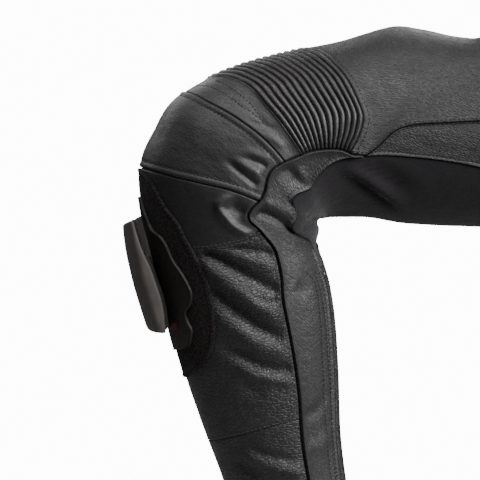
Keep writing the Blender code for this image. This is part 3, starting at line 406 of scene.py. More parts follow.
# Rows of stitches that pull darts and tucks into a panel: (ring, angle) along each.
ROWS = {
    "knee_strip": [
        [(15.01, -84), (14.74, -69), (14.49, -54), (14.3, -40), (14.19, -32), (14.03, -26), (13.86, -16),
         (13.83, -13)],
        [(14.36, -68), (14.16, -54), (14.02, -43), (13.88, -30), (13.82, -14)]],
    "side": [
        [(22.2, 50), (22.77, 58), (24.42, 54), (25.92, 51), (27.6, 45)],
        [(22.2, 61), (23.52, 63), (24.8, 61.5), (25.95, 60), (27.6, 50)]],
}


def distances(base):
    """Of each point of a grid, its distance along the grid from the left, right, top and foot edges."""
    across = np.linalg.norm(np.diff(base, axis=1), axis=-1).cumsum(axis=1)
    down = np.linalg.norm(np.diff(base, axis=0), axis=-1).cumsum(axis=0)
    across = np.concatenate([np.zeros((len(base), 1)), across], axis=1)
    down = np.concatenate([np.zeros((1, base.shape[1])), down], axis=0)
    return across, across[:, -1:] - across, down, down[-1:] - down


# How high each kind of edge stands above the form, as ridges and grooves: height, width, distance in.
EDGES = {
    "over": [(0.0013, 0.007, 0), (-0.0014, 0.0008, 0), (-0.0006, 0.0013, LAP_ROW)],     # laps its neighbour
    "proud": [(0.0013, 0.0045, 0.0012), (0.0009, 0.0010, 0.0014), (-0.0025, 0.0006, 0)],     # a rolled edge
    "under": [(-0.0019, 0.0011, 0)],                                # goes in below its neighbour
    "level": [(-0.0014, 0.0009, 0), (0.0008, 0.0022, 0.0026)],      # butted, with stitches on both sides
    "close": [(-0.0007, 0.0006, 0)],                                # butted tight, with one row of stitches
    "hem": [(0.0007, 0.006, 0), (-0.0009, 0.0008, 0)],
    "mid": [],                                                      # meets its mirror image
}


def ridges(s, rows):
    """Heights at distances from an edge, as a sum of ridges and grooves."""
    return sum(height * np.exp(-((s - at) / width) ** 2) for height, width, at in rows)


def ease(x):
    """A smooth step from 0 to 1."""
    x = np.clip(x, 0, 1)
    return x * x * (3 - 2 * x)


def fold_heights(name, base, sides):
    """Height of the folds over a panel's points, less towards its seams."""
    wanted = "side" if name.startswith("side") else name
    total = np.zeros(base.shape[:2])
    tucks = [(-0.7, 1.6, 0.05, 0.05, line) for line in ROWS.get(wanted, [])]
    for height, width, fade_in, fade_out, line in FOLDS.get(wanted, []) + tucks:
        for inner in (False, True):
            if wanted == "side" and inner != (name == "side_inner"):
                continue
            path = np.array(line, float)
            if inner:
                path[:, 1] = 180 - path[:, 1]
            path = smooth(path, 24)
            points, share = surface(*path.T), np.linspace(0, 1, len(path))
            strength = ease(share / max(fade_in, 0.01)) * ease((1 - share) / max(fade_out, 0.01))
            gap = np.linalg.norm(base.reshape(-1, 1, 3) - points, axis=-1)
            nearest = gap.argmin(axis=1)
            fold = strength[nearest] * np.exp(-(gap.min(axis=1) / (width / 1000)) ** 2) * height / 1000
            total += fold.reshape(base.shape[:2])
    return total * ease((np.minimum.reduce(sides) + 0.002) / 0.010)


def rolling(points, scale, seed=0.0):
    """Smooth noise from -1 to 1 at a scale in metres."""
    shape = points.shape[:-1]
    flat = points.reshape(-1, 3) / scale + seed
    return np.array([noise.noise(Vector(p)) for p in flat.tolist()]).reshape(shape)


RIBS = 13                 # stitched ribs over the knee


def rib_height(base, down, sides):
    """Padded ribs: full between their stitched lines, puckered, and flat where the side seams hold them."""
    wave = np.abs(np.sin(math.pi * RIBS * down))[:, None] ** 0.42
    pucker = 1 + 0.16 * rolling(base, 0.012) + 0.08 * rolling(base, 0.005, 5.0)
    return -0.0012 + 0.0034 * wave * pucker * (0.35 + 0.65 * ease(np.minimum(sides[0], sides[1]) / 0.007))


def closed_wall(top, low):
    """Points and quads of a wall between two grids, closed round its rim."""
    rows, columns = top.shape[:2]
    size = rows * columns
    index = np.arange(size).reshape(rows, columns)
    quads = np.stack([index[:-1, :-1], index[1:, :-1], index[1:, 1:], index[:-1, 1:]], axis=-1).reshape(-1, 4)
    ring = np.concatenate([index[0, :-1], index[:-1, -1], index[-1, :0:-1], index[:0:-1, 0]])
    rim = np.column_stack([ring, np.roll(ring, -1), np.roll(ring, -1) + size, ring + size])
    points = np.concatenate([top.reshape(-1, 3), low.reshape(-1, 3)])
    return points, np.vstack([quads, quads[:, ::-1] + size, rim])


def cut_uv(grid, centred=True):
    """Metres across and down a grid's cut, for both faces of its wall."""
    across, right, down, _ = distances(grid)
    uv = np.stack([across - (across + right) / 2 * centred, down], axis=-1).reshape(-1, 2)
    return np.vstack([uv, uv])


def make_sheet(grid, heights, out, wall):
    """Points, quads and UVs of a closed wall over a grid of points on the form, and its upper face."""
    top = grid + out * heights[..., None]
    for edge, beside in ((np.s_[0, :], np.s_[1, :]), (np.s_[-1, :], np.s_[-2, :]),
                         (np.s_[:, 0], np.s_[:, 1]), (np.s_[:, -1], np.s_[:, -2])):
        top[edge] -= unit(top[beside] - top[edge]) * PRESSED
    top[..., 0] = np.maximum(top[..., 0], -PRESSED)
    low = top - out * wall
    low[..., 0] = np.maximum(low[..., 0], -PRESSED)
    return (*closed_wall(top, low), cut_uv(grid), top)


def make_mesh(name, points, faces, material, uv=None, mirror=False, smooth_to=50):
    """A mesh object. Mirrored, it is the right leg's piece."""
    points, faces = np.array(points, float), np.array(faces)
    if mirror:
        points, faces = points * (-1, 1, 1), faces[:, ::-1]
    mesh = bpy.data.meshes.new(name)
    mesh.from_pydata(points.tolist(), [], faces.tolist())
    if uv is not None:
        layer = mesh.uv_layers.new(name="metres")
        corner = np.empty(len(mesh.loops), dtype=np.int32)
        mesh.loops.foreach_get("vertex_index", corner)
        layer.data.foreach_set("uv", uv[corner].astype(np.float32).ravel())
    work = bmesh.new()
    work.from_mesh(mesh)
    bmesh.ops.remove_doubles(work, verts=work.verts, dist=0.00001)
    work.to_mesh(mesh)
    work.free()
    mesh.shade_smooth()
    mesh.set_sharp_from_angle(angle=math.radians(smooth_to))
    mesh.materials.append(material)
    item = bpy.data.objects.new(name, mesh)
    bpy.context.scene.collection.objects.link(item)
    return item


def hang(item, slot_name, *nodes):
    """A piece of the trousers themselves, with the CAD nodes it stands in for."""
    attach(item, "trousers")
    if nodes:
        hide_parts(*nodes)


def make_pair(name, points, faces, material, slot_name, node=None, **settings):
    """A piece of the left leg and its mirror image on the right leg."""
    pair = []
    for side in SIDES:
        pair.append(make_mesh(f"{name}_{side}", points, faces, material, mirror=side == "right", **settings))
        hang(pair[-1], slot_name, *([f"{node}_{side}"] if node else []))
    return pair


def sheet_pair(name, points, faces, material, slot_name, node, uv, measured):
    """The same for a panel of cloth. measured, its size and area, is not used."""
    for side, item in zip(SIDES, make_pair(name, points, faces, material, slot_name, node, uv=uv)):
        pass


def linear(colour):
    """A #rrggbb colour as the shader's linear values."""
    parts = [int(colour[k:k + 2], 16) / 255 for k in (1, 3, 5)]
    return (*[p / 12.92 if p < 0.04045 else ((p + 0.055) / 1.055) ** 2.4 for p in parts], 1)


def add(tree, kind, inputs=None, **settings):
    """A node with its settings, and its inputs set, or linked to a socket or to a node's first socket."""
    node = tree.nodes.new("ShaderNode" + kind)
    for name, value in settings.items():
        setattr(node, name, value)
    for name, value in (inputs or {}).items():
        if isinstance(value, bpy.types.Node):
            value = value.outputs[0]
        if isinstance(value, bpy.types.NodeSocket):
            tree.links.new(value, node.inputs[name])
        else:
            node.inputs[name].default_value = value
    return node


def start_material(name):
    """A new material, its node tree, and the places of its patterns: in the piece's own metres, and in
    metres over the cut."""
    material = bpy.data.materials.new(name)
    material.use_nodes = True
    tree = material.node_tree
    tree.nodes.clear()
    return material, tree, add(tree, "TexCoord").outputs["Object"], add(tree, "UVMap", uv_map="metres")


def per_mm(x, y, z=None):
    """The scale that gives a pattern's unit these lengths in mm."""
    return 1000 / x, 1000 / y, 1000 / (z or y)


SPREAD = {"From Min": 0.3, "From Max": 0.7}       # what soft noise mostly keeps between


def cowhide(name, dark, light, rough, crease):
    """Aniline cowhide. Its grain is a net of cells 1 mm wide, pulled out into creases 5 mm long round the leg
    where it is worn, and the raised grain is rubbed smoother and a little lighter."""
    material, tree, solid, flat = start_material(name)
    drift = add(tree, "Mapping", {"Vector": flat, "Scale": per_mm(9, 5)})
    wander = add(tree, "TexNoise", {"Vector": drift, "Scale": 1.0, "Detail": 2.0}).outputs["Color"]
    pulled = add(tree, "Mapping", {"Vector": flat, "Scale": per_mm(5.2, 2.6)})
    warped = add(tree, "VectorMath", {0: pulled, 1: wander}, operation="ADD")
    net = add(tree, "TexVoronoi", {"Vector": warped, "Scale": 1.0}, feature="DISTANCE_TO_EDGE")
    creases = add(tree, "MapRange", {"Value": net, "From Max": 0.22})
    pores = add(tree, "Mapping", {"Vector": flat, "Scale": per_mm(1.1, 0.8)})
    grain = add(tree, "TexVoronoi", {"Vector": pores, "Scale": 1.0}, feature="DISTANCE_TO_EDGE")
    patches = add(tree, "TexNoise", {"Vector": solid, "Scale": 1000 / 26, "Detail": 3.0, "Roughness": 0.55})
    worn = add(tree, "MapRange", {"Value": patches, **SPREAD})
    raised = add(tree, "Math", {0: creases, 1: worn}, operation="MULTIPLY")
    rolls = add(tree, "Mapping", {"Vector": flat, "Scale": per_mm(18, 9)})
    rolls = add(tree, "TexNoise", {"Vector": rolls, "Scale": 1.0, "Detail": 2.0, "Roughness": 0.55})
    rolls = add(tree, "MapRange", {"Value": rolls, **SPREAD})
    relief = add(tree, "Bump", {"Height": rolls, "Distance": 0.00035, "Strength": 0.7})
    relief = add(tree, "Bump", {"Height": creases, "Distance": 0.00026 * crease, "Strength": 0.9,
                                "Normal": relief})
    relief = add(tree, "Bump", {"Height": grain, "Distance": 0.00004 * (1 + crease), "Strength": 0.6,
                                "Normal": relief})
    colour = add(tree, "Mix", {0: raised, 6: linear(dark), 7: linear(light)}, data_type="RGBA").outputs[2]
    gloss = add(tree, "MapRange", {"Value": raised, "To Min": rough + 0.10, "To Max": rough - 0.06})
    shader = add(tree, "BsdfPrincipled", {"Base Color": colour, "Roughness": gloss, "Normal": relief,
                                          "Specular IOR Level": 0.5})
    add(tree, "OutputMaterial", {"Surface": shader})
    return material


HIDE_FINISH = cowhide("Aniline cowhide, plain milled", "#100f10", "#221f20", 0.50, 0.85)
CALF_FINISH = cowhide("Aniline cowhide, creased below the knee", "#0c0b0c", "#232021", 0.47, 1.6)
# A lighter copy of the hide for the knee panels: painted light where the lamps fall on the knee.
KNEE_PAINTED_LIGHT_FINISH = cowhide("Aniline cowhide, drawn tight over the knee, painted lighter", "#171617", "#292728", 0.48, 0.3)
made = {}                 # of each panel: its form, its face, which way it faces, edge distances, heights


def flat_size(grid):
    """Width, length and area in metres of a grid's cloth laid flat."""
    across, _, down, _ = distances(grid)
    one, two = grid[1:, 1:] - grid[:-1, :-1], grid[1:, :-1] - grid[:-1, 1:]
    area = float(np.linalg.norm(np.cross(one, two), axis=-1).sum() / 2)
    width, length = float(across[:, -1].max()), float(down[-1].max())
    return (width, length), min(area, width * length)


def make_panel(name, cloth, finish, slot_name, wall=HIDE):
    """A panel of the left leg and its mirror image, each a sheet of its own."""
    left, right, top, foot = panel_edges(name)
    *kinds, step = PANELS[name]
    down = None
    if name == "rib_panel":
        down = np.concatenate([[0, 0.002], np.linspace(0, 1, RIBS * 8 + 1)[1:-1], [0.998, 1]])
    at = panel_grid(left, right, top, foot, step, down)
    if name == "side_inner":        # above the crotch its points stay on their own side of the mid plane
        high = at[..., 0] < CROTCH
        past = np.arange(at.shape[1]) >= np.argmax(at[0, :, 1] > 180)
        own_side = np.where(past, np.maximum(at[..., 1], PAST_MIDDLE), np.minimum(at[..., 1], 180))
        at[..., 1] = np.where(high, own_side, at[..., 1])
    elif name in ("thigh_front", "seat", "waistband", "stretch_back"):
        at[..., 1] = np.clip(at[..., 1], -180, 180)
    base, out = surface(at[..., 0], at[..., 1]), normal(at[..., 0], at[..., 1])
    sides = distances(base)
    heights = sum(ridges(s, EDGES[kind]) for kind, s in zip(kinds, sides))
    heights = heights + fold_heights(name, base, sides)
    near = ease(np.minimum.reduce(sides) / 0.01)
    heights += near * (0.00035 * rolling(base, 0.021, 3.0) + 0.00016 * rolling(base, 0.008, 9.0))
    if name == "rib_panel":
        heights = rib_height(base, down, sides) + sum(ridges(s, EDGES["under"]) for s in sides[:2])
    points, faces, uv, shown = make_sheet(base, heights, out, wall)
    made[name] = (base, shown, out, sides, heights)
    sheet_pair(f"{name}_{cloth}", points, faces, finish, slot_name, name, uv,
               flat_size(shown))


for panel_name, hide_finish, sewn_to, hide_wall in [
        ("waistband", HIDE_FINISH, "thigh_front", DOUBLED_HIDE),
        ("thigh_front", HIDE_FINISH, "waistband", HIDE), ("seat", HIDE_FINISH, "waistband", HIDE),
        ("knee_strip", KNEE_PAINTED_LIGHT_FINISH, "rib_panel", HIDE), ("knee_cap", KNEE_PAINTED_LIGHT_FINISH, "knee_strip", HIDE),
        ("under_knee", KNEE_PAINTED_LIGHT_FINISH, "knee_cap", HIDE), ("shin", CALF_FINISH, "under_knee", HIDE),
        ("shin_lower", CALF_FINISH, "shin", HIDE),
        ("side_outer", HIDE_FINISH, "thigh_front", HIDE), ("side_inner", HIDE_FINISH, "seat", HIDE)]:
    make_panel(panel_name, "hide", hide_finish, "leather", hide_wall)


# ---- Ribbed knee panel ----
# Above the knee the leather is quilted over foam in narrow ribs, so that it opens as the knee bends.
# Each rib is held by a stitched line and puckers a little where it is squeezed.

# A lighter copy of the hide for the ribbed panel: painted light on the ribs.
RIB_PAINTED_LIGHT_FINISH = cowhide("Aniline cowhide, quilted over foam, painted lighter", "#1c1a1b", "#343132", 0.44, 0.4)
make_panel("rib_panel", "hide", RIB_PAINTED_LIGHT_FINISH, "ribbed_leather")


# ---- Stretch cloth ----
# The back of the thigh and the pit of the knee are ribbed polyamide stretch cloth, sewn in under the
# leather's edges. It narrows behind the calf and ends at the top of the calf zip.

STRETCH = 0.0013          # its thickness
BANDS = 100 * math.pi     # a banded pattern's scale, times the mm from band to band


def stretch_knit():
    """Polyamide stretch cloth, ribbed: matt, with ribs 1.6 mm apart that run down the leg and a little lint.
    Its stitches are drawn 0.8 mm wide, about twice their size, so that they show."""
    material, tree, solid, flat = start_material("Polyamide stretch knit")
    ribs = add(tree, "TexWave", {"Vector": flat, "Scale": BANDS / 1.5791, "Distortion": 0.6,
                                 "Detail": 1.0}).outputs["Fac"]
    lint = add(tree, "TexNoise", {"Vector": solid, "Scale": 1000 / 1.5, "Detail": 4.0, "Roughness": 0.55})
    lint = add(tree, "MapRange", {"Value": lint, **SPREAD})
    slack = add(tree, "TexNoise", {"Vector": flat, "Scale": 1000 / 9, "Detail": 3.0, "Roughness": 0.55})
    slack = add(tree, "MapRange", {"Value": slack, **SPREAD})
    loops = add(tree, "Mapping", {"Vector": flat, "Scale": per_mm(0.8, 1.0)})
    loops = add(tree, "TexVoronoi", {"Vector": loops, "Scale": 1.0})
    relief = add(tree, "Bump", {"Height": slack, "Distance": 0.0004, "Strength": 0.5})
    relief = add(tree, "Bump", {"Height": ribs, "Distance": 0.00025, "Strength": 0.6, "Normal": relief})
    relief = add(tree, "Bump", {"Height": loops, "Distance": 0.0002, "Strength": 0.7, "Normal": relief})
    colour = add(tree, "Mix", {0: lint, 6: linear("#0b080b"), 7: linear("#181419")}, data_type="RGBA")
    shader = add(tree, "BsdfPrincipled", {
        "Base Color": colour.outputs[2], "Roughness": 0.92, "Normal": relief, "Specular IOR Level": 0.25,
        "Sheen Weight": 0.16, "Sheen Roughness": 0.5})
    add(tree, "OutputMaterial", {"Surface": shader})
    return material


make_panel("stretch_back", "knit", stretch_knit(), "stretch_cloth", STRETCH)


# ---- Stitching ----
# Twisted polyester thread, bonded and black. Its two rows across the shin are a paler copy of it, painted
# highlights. There are about six stitches in 25 mm, and each lies in the groove that it pulls in the hide.

# Length of a stitch, the gap to the next, and the thread's radius.
STITCH, STITCH_GAP, THREAD = 0.0032, 0.0011, 0.00045
CLOSE_ROW = 0.0034        # from an edge to a row sewn close beside it
BUTTED_ROW = 0.0018       # from a butted edge to its only row
WAIST_ROW, HEM_ROW, SIDE_ROW = 0.0050, 0.0090, 0.0052


def edge_line(panel, edge, at):
    """Points on a panel's face, and its outward directions, at a distance in from one edge."""
    _, shown, out, sides, _ = made[panel]
    k = ("left", "right", "top", "foot").index(edge)
    s = sides[k]
    if k < 2:
        s, shown, out = s.T, shown.transpose(1, 0, 2), out.transpose(1, 0, 2)
    if k % 2:
        s, shown, out = s[::-1], shown[::-1], out[::-1]
    line, ways = [], []
    for column in range(s.shape[1]):
        if s[-1, column] < 2.2 * at:
            continue
        place = np.interp(at, s[:, column], np.arange(len(s)))
        row, part = min(int(place), len(s) - 2), place - min(int(place), len(s) - 2)
        line.append(shown[row, column] * (1 - part) + shown[row + 1, column] * part)
        ways.append(out[row, column])
    return np.array(line), np.array(ways)


def drawn_line(panel, points):
    """The same for a line through (ring, angle) points inside a panel."""
    base, _, _, _, heights = made[panel]
    at = smooth(points)
    line, ways = surface(*at.T), normal(*at.T)
    tree = KDTree(base.shape[0] * base.shape[1])
    for k, p in enumerate(base.reshape(-1, 3)):
        tree.insert(p, k)
    tree.balance()
    lift = np.array([np.mean([heights.flat[k] for _, k, _ in tree.find_n(Vector(p), 3)]) for p in line])
    return line + ways * lift[:, None], ways


def spread(line, ways, pitch):
    """Places, directions along and directions out at even steps of a line."""
    length = np.concatenate([[0], np.cumsum(np.linalg.norm(np.diff(line, axis=0), axis=1))])
    at = np.arange(pitch / 2, length[-1] - pitch / 2, pitch)

    def take(values, where):
        return np.column_stack([np.interp(where, length, column) for column in values.T])

    along_it = unit(take(line, at + pitch * 0.3) - take(line, at - pitch * 0.3))
    out = unit(take(ways, at))
    out = unit(out - along_it * (out * along_it).sum(axis=1, keepdims=True))
    return take(line, at), along_it, out


def copies(shape, faces, places, along_it, out, sink=0.0):
    """One small shape set down at many places: its x along the line and its z outwards."""
    frames = np.stack([along_it, np.cross(out, along_it), out], axis=1)
    points = np.einsum("pk,nkc->npc", shape, frames) + (places - out * sink)[:, None]
    steps = (np.arange(len(places)) * len(shape))[:, None, None]
    return points.reshape(-1, 3), (np.array(faces)[None] + steps).reshape(-1, len(faces[0]))


def ring_faces(rows, sides):
    """Quads that join each ring of points to the next."""
    return [(i + k, i + sides + k, i + sides + (k + 1) % sides, i + (k + 1) % sides)
            for i in range(0, (rows - 1) * sides, sides) for k in range(sides)]


def bead(rows, sides):
    """A closed round bead along x from (x, radius, height) rows."""
    turn = np.arange(sides) * 2 * math.pi / sides
    points = [(x, r * math.cos(a), z + r * math.sin(a)) for x, r, z in rows for a in turn]
    return np.array(points), [face[::-1] for face in ring_faces(len(rows), sides)]


def joined(parts):
    """Several (points, faces) as one."""
    starts = np.cumsum([0] + [len(points) for points, _ in parts])
    return np.concatenate([points for points, _ in parts]), \
        np.concatenate([np.array(faces) + start for (_, faces), start in zip(parts, starts)])


def make_stitches(name, edges, thread, slot_name="leather", rows_on=None):
    """Rows of stitches at distances in from panels' edges, and along the rows drawn on one more panel. Each
    stitch is a short bead with its ends down in the hide."""
    lines = [edge_line(*edge) for edge in edges]
    if rows_on:
        lines += [drawn_line(rows_on, points) for points in ROWS[rows_on.removesuffix("_outer")]]
    half = STITCH / 2
    shape, faces = bead([(-half, 0.00005, -0.0004), (-half * 0.8, THREAD * 0.8, -0.00005),
                         (0, THREAD, 0.00008), (half * 0.8, THREAD * 0.8, -0.00005),
                         (half, 0.00005, -0.0004)], 5)
    rows = [copies(shape, faces, *spread(line, ways, STITCH + STITCH_GAP)) for line, ways in lines]
    make_pair(name, *joined(rows), thread, slot_name, smooth_to=80)


def sewing_thread(name, dark, light, rough):
    """Twisted polyester thread, bonded and satin. Its twist shows as flecks half a millimetre long."""
    material, tree, solid, _ = start_material(name)
    twist = add(tree, "TexNoise", {"Vector": solid, "Scale": 1000 / 0.5, "Detail": 2.0, "Roughness": 0.55})
    twist = add(tree, "MapRange", {"Value": twist, **SPREAD})
    relief = add(tree, "Bump", {"Height": twist, "Distance": 0.00005, "Strength": 0.6})
    colour = add(tree, "Mix", {0: twist, 6: linear(dark), 7: linear(light)}, data_type="RGBA").outputs[2]
    shader = add(tree, "BsdfPrincipled", {"Base Color": colour, "Roughness": rough, "Normal": relief,
                                          "Specular IOR Level": 0.4})
    add(tree, "OutputMaterial", {"Surface": shader})
    return material


BLACK_THREAD = sewing_thread("Bonded polyester thread, black", "#060606", "#141314", 0.7)
# A paler copy of the black thread: painted highlights on the two rows across the shin.
PAINTED_HIGHLIGHT_THREAD = sewing_thread("Bonded polyester thread, black, painted paler", "#252324", "#403e3f", 0.5)
make_stitches("thigh_topstitching", [
    ("waistband", "foot", LAP_ROW), ("thigh_front", "foot", LAP_ROW), ("thigh_front", "right", CLOSE_ROW),
    ("seat", "left", CLOSE_ROW), ("seat", "foot", LAP_ROW), ("waistband", "top", WAIST_ROW)], BLACK_THREAD)
make_stitches("knee_topstitching", [
    ("knee_cap", "top", LAP_ROW), ("knee_cap", "foot", LAP_ROW)], BLACK_THREAD, rows_on="knee_strip")
make_stitches("shin_topstitching", [
    ("under_knee", "foot", BUTTED_ROW), ("shin", "foot", BUTTED_ROW)], PAINTED_HIGHLIGHT_THREAD)
make_stitches("leg_topstitching", [
    ("shin_lower", "foot", HEM_ROW), ("side_outer", "foot", HEM_ROW), ("side_inner", "foot", HEM_ROW),
    ("side_outer", "right", SIDE_ROW), ("side_inner", "left", SIDE_ROW)], BLACK_THREAD, rows_on="side_outer")


# ---- Shin patch ----
# A patch of looped hook-and-loop cloth covers the knee's front, for the slider to stick to. It is bound
# with a narrow tape, sewn down through it, and its loops stand up in a dull black nap.

PATCH, PATCH_TOP = 0.0015, 0.0020         # its thickness, and how high its face stands above the hide
PATCH_EDGE = [(18.42, -90), (18.75, -61), (19.70, -45), (20.20, -37), (20.74, -34), (21.13, -31),
              (21.98, -26), (22.97, -26), (23.45, -29), (23.82, -36), (24.08, -49), (24.24, -73)]


def make_layer(name, word, edge, step, top, wall, shape, finish, slot_name):
    """A piece laid over the front of the shin inside an edge. top is its height above the hide."""
    right = smooth(edge)
    left = np.column_stack([right[:, 0], -180 - right[:, 1]])
    at = panel_grid(left, right, straight(left[0], right[0]), straight(left[-1], right[-1]), step)
    base, out = surface(at[..., 0], at[..., 1]), normal(at[..., 0], at[..., 1])
    sides = distances(base)
    heights = top + shape(base, np.minimum.reduce(sides))
    points, faces, uv, shown = make_sheet(base, heights, out, wall)
    made[name] = (base, shown, out, sides, heights)
    sheet_pair(f"{name}_{word}", points, faces, finish, slot_name, name, uv,
               flat_size(base))


def loop_cloth():
    """Brushed nylon loops: near black, no shine, a nap of fine curls. The curls are drawn 0.9 mm wide, about
    twice their size, so that they show."""
    material, tree, solid, _ = start_material("Brushed nylon loop cloth")
    curls = add(tree, "TexVoronoi", {"Vector": solid, "Scale": 1000 / 0.9})
    nap = add(tree, "TexNoise", {"Vector": solid, "Scale": 1000 / 2, "Detail": 5.0, "Roughness": 0.7})
    nap = add(tree, "MapRange", {"Value": nap, **SPREAD, "To Min": -0.45, "To Max": 1.2})
    relief = add(tree, "Bump", {"Height": curls, "Distance": 0.0005, "Strength": 0.9})
    relief = add(tree, "Bump", {"Height": nap, "Distance": 0.0008, "Strength": 0.9, "Normal": relief})
    colour = add(tree, "Mix", {0: nap, 6: linear("#050404"), 7: linear("#332e2d")}, data_type="RGBA")
    shader = add(tree, "BsdfPrincipled", {
        "Base Color": colour.outputs[2], "Roughness": 1.0, "Normal": relief, "Specular IOR Level": 0.1,
        "Sheen Weight": 0.05, "Sheen Roughness": 0.6})
    add(tree, "OutputMaterial", {"Surface": shader})
    return material


def bound_edge(base, s):
    """A tape 4 mm wide folded round the cloth's edge."""
    return ridges(s, [(0.0006, 0.0017, 0.0022), (-0.0009, 0.0007, 0)]) \
        + 0.00025 * rolling(base, 0.005) * ease((s - 0.004) / 0.004)


make_layer("loop_patch", "loops", PATCH_EDGE, 0.0030, PATCH_TOP, PATCH, bound_edge, loop_cloth(),
           "loop_cloth")
make_stitches("patch_topstitching", [("loop_patch", edge, CLOSE_ROW) for edge in ("right", "left", "foot")],
              BLACK_THREAD, "loop_cloth")


# ---- Slider plate ----
# The slider is moulded on to a bendy plate of black rubber, cut in waves, with a thin bead round its
# edge. Hooks on the plate's back grip the patch.

PLATE, PLATE_TOP = 0.0026, 0.0044         # its thickness, and how high its face stands above the hide
PLATE_EDGE = [(19.47, -80), (19.82, -76), (20.14, -72), (20.42, -69), (20.58, -64), (20.71, -57),
              (20.96, -53), (21.38, -50), (21.79, -44), (22.22, -40), (22.44, -40), (22.65, -43),
              (22.82, -49), (23.03, -49), (23.20, -47), (23.33, -47), (23.53, -51), (23.61, -56),
              (23.62, -62), (23.59, -72)]


def plate_rubber():
    """Moulded rubber: brown-black and half matt, with soft paler patches 4 mm wide and fine pits."""
    material, tree, solid, _ = start_material("Moulded black rubber")
    spots = add(tree, "TexNoise", {"Vector": solid, "Scale": 1000 / 4, "Detail": 5.0, "Roughness": 0.65})
    spots = add(tree, "MapRange", {"Value": spots, **SPREAD})
    pits = add(tree, "TexNoise", {"Vector": solid, "Scale": 1000 / 0.7, "Detail": 3.0, "Roughness": 0.55})
    pits = add(tree, "MapRange", {"Value": pits, **SPREAD})
    relief = add(tree, "Bump", {"Height": pits, "Distance": 0.00012, "Strength": 0.7})
    colour = add(tree, "Mix", {0: spots, 6: linear("#0e0a09"), 7: linear("#1b1513")}, data_type="RGBA")
    gloss = add(tree, "MapRange", {"Value": spots, "To Min": 0.42, "To Max": 0.62})
    shader = add(tree, "BsdfPrincipled", {"Base Color": colour.outputs[2], "Roughness": gloss,
                                          "Normal": relief, "Specular IOR Level": 0.45})
    add(tree, "OutputMaterial", {"Surface": shader})
    return material


def beaded_edge(_, s):
    """A bead 1 mm in from the edge, and a body that thickens away from it."""
    return ridges(s, [(0.0005, 0.0008, 0.0010), (-0.0006, 0.0004, 0)]) + 0.0004 * ease((s - 0.003) / 0.01)


make_layer("slider_plate", "rubber", PLATE_EDGE, 0.0027, PLATE_TOP, PLATE, beaded_edge, plate_rubber(),
           "plate_rubber")


# ---- Knee slider ----
# A thick puck of hard polyurethane that touches the road. It stands off the plate on a narrower foot, so
# a dark recess runs all round behind it, and its face is bowed both ways.

# The face's centre line seen from the side: y, z, half width as a share, thickness.
PUCK_FACE = [
    (-0.4821, -0.3112, 0.88, 0.0034),
    (-0.4824, -0.3155, 0.93, 0.0040),
    (-0.4812, -0.3270, 0.98, 0.0055),
    (-0.4792, -0.3400, 1.00, 0.0080),
    (-0.4757, -0.3560, 1.00, 0.0118),
    (-0.4717, -0.3720, 1.00, 0.0134),
    (-0.4672, -0.3870, 0.99, 0.0140),
    (-0.4634, -0.3990, 0.97, 0.0134),
    (-0.4597, -0.4100, 0.95, 0.0112),
    (-0.4565, -0.4142, 0.90, 0.0085),
]
# Its middle, its half width, how far its sides fall back, and the foot's half width.
PUCK_X, PUCK_HALF, PUCK_SAG, FOOT_HALF = 0.1735, 0.038, 0.011, 0.021


def rounded_box(half, wall, radius, flats=16, corner=5):
    """Points round a section 2 half wide and wall deep, from x and depth."""
    x_in, turn = half - radius, np.linspace(0, math.pi / 2, corner)
    front = [(x, 0.0) for x in np.linspace(-x_in, x_in, flats)]
    right = [(x_in + radius * math.sin(a), radius - radius * math.cos(a)) for a in turn[1:]]
    right += [(x_in + radius * math.cos(a), wall - radius + radius * math.sin(a)) for a in turn[:-1]]
    back = [(x, wall) for x in np.linspace(x_in, -x_in, flats)]
    left = [(-x, d) for x, d in right[::-1]]
    return np.array(front + right + back + left)


def puck_sections(places, width, depth_of, radius):
    """Rings of points along the puck's centre line. depth_of gives where a section starts and ends."""
    rows = catmull(PUCK_FACE, places)
    ahead, behind = catmull(PUCK_FACE, places + 0.02), catmull(PUCK_FACE, places - 0.02)
    slope = unit(ahead[:, :2] - behind[:, :2])
    back = np.column_stack([-slope[:, 1], slope[:, 0]])
    rings = []
    for (y, z, share, wall), way, place in zip(rows, back, places):
        front, rear = depth_of(place, wall)
        end = min(1.0, (place + 0.06) * 2.6, (len(PUCK_FACE) - 1 - place) * 2.4 + 0.5) ** 0.5
        level = ease((place - 7.6) / 1.3)       # the lower end is cut level
        rise = ease((1.5 - place) / 1.5)        # and the upper end is cut sloping
        way = unit(way * (1 - level - rise) + np.array([1.0, -0.06]) * level + np.array([0.9, 0.42]) * rise)
        half = width * share * (0.90 + 0.10 * end)
        section = rounded_box(half, rear - front, min(radius, (rear - front) * 0.42))
        sag = PUCK_SAG * (section[:, 0] / PUCK_HALF) ** 2
        depth = front + section[:, 1] * end + (1 - end) * (rear - front) / 2 + sag
        rings.append(np.column_stack([PUCK_X + section[:, 0], y + way[0] * depth, z + way[1] * depth]))
    return np.array(rings)


def loft(rings):
    """Quads over rings of points, with both ends closed by a fan of thin quads."""
    rows, size = rings.shape[:2]
    half = size // 2
    faces = ring_faces(rows, size)
    for start, flip in ((0, False), ((rows - 1) * size, True)):
        for k in range(half - 1):
            quad = (start + k, start + k + 1, start + size - 2 - k, start + size - 1 - k)
            faces.append(quad[::-1] if flip else quad)
    return rings.reshape(-1, 3), faces


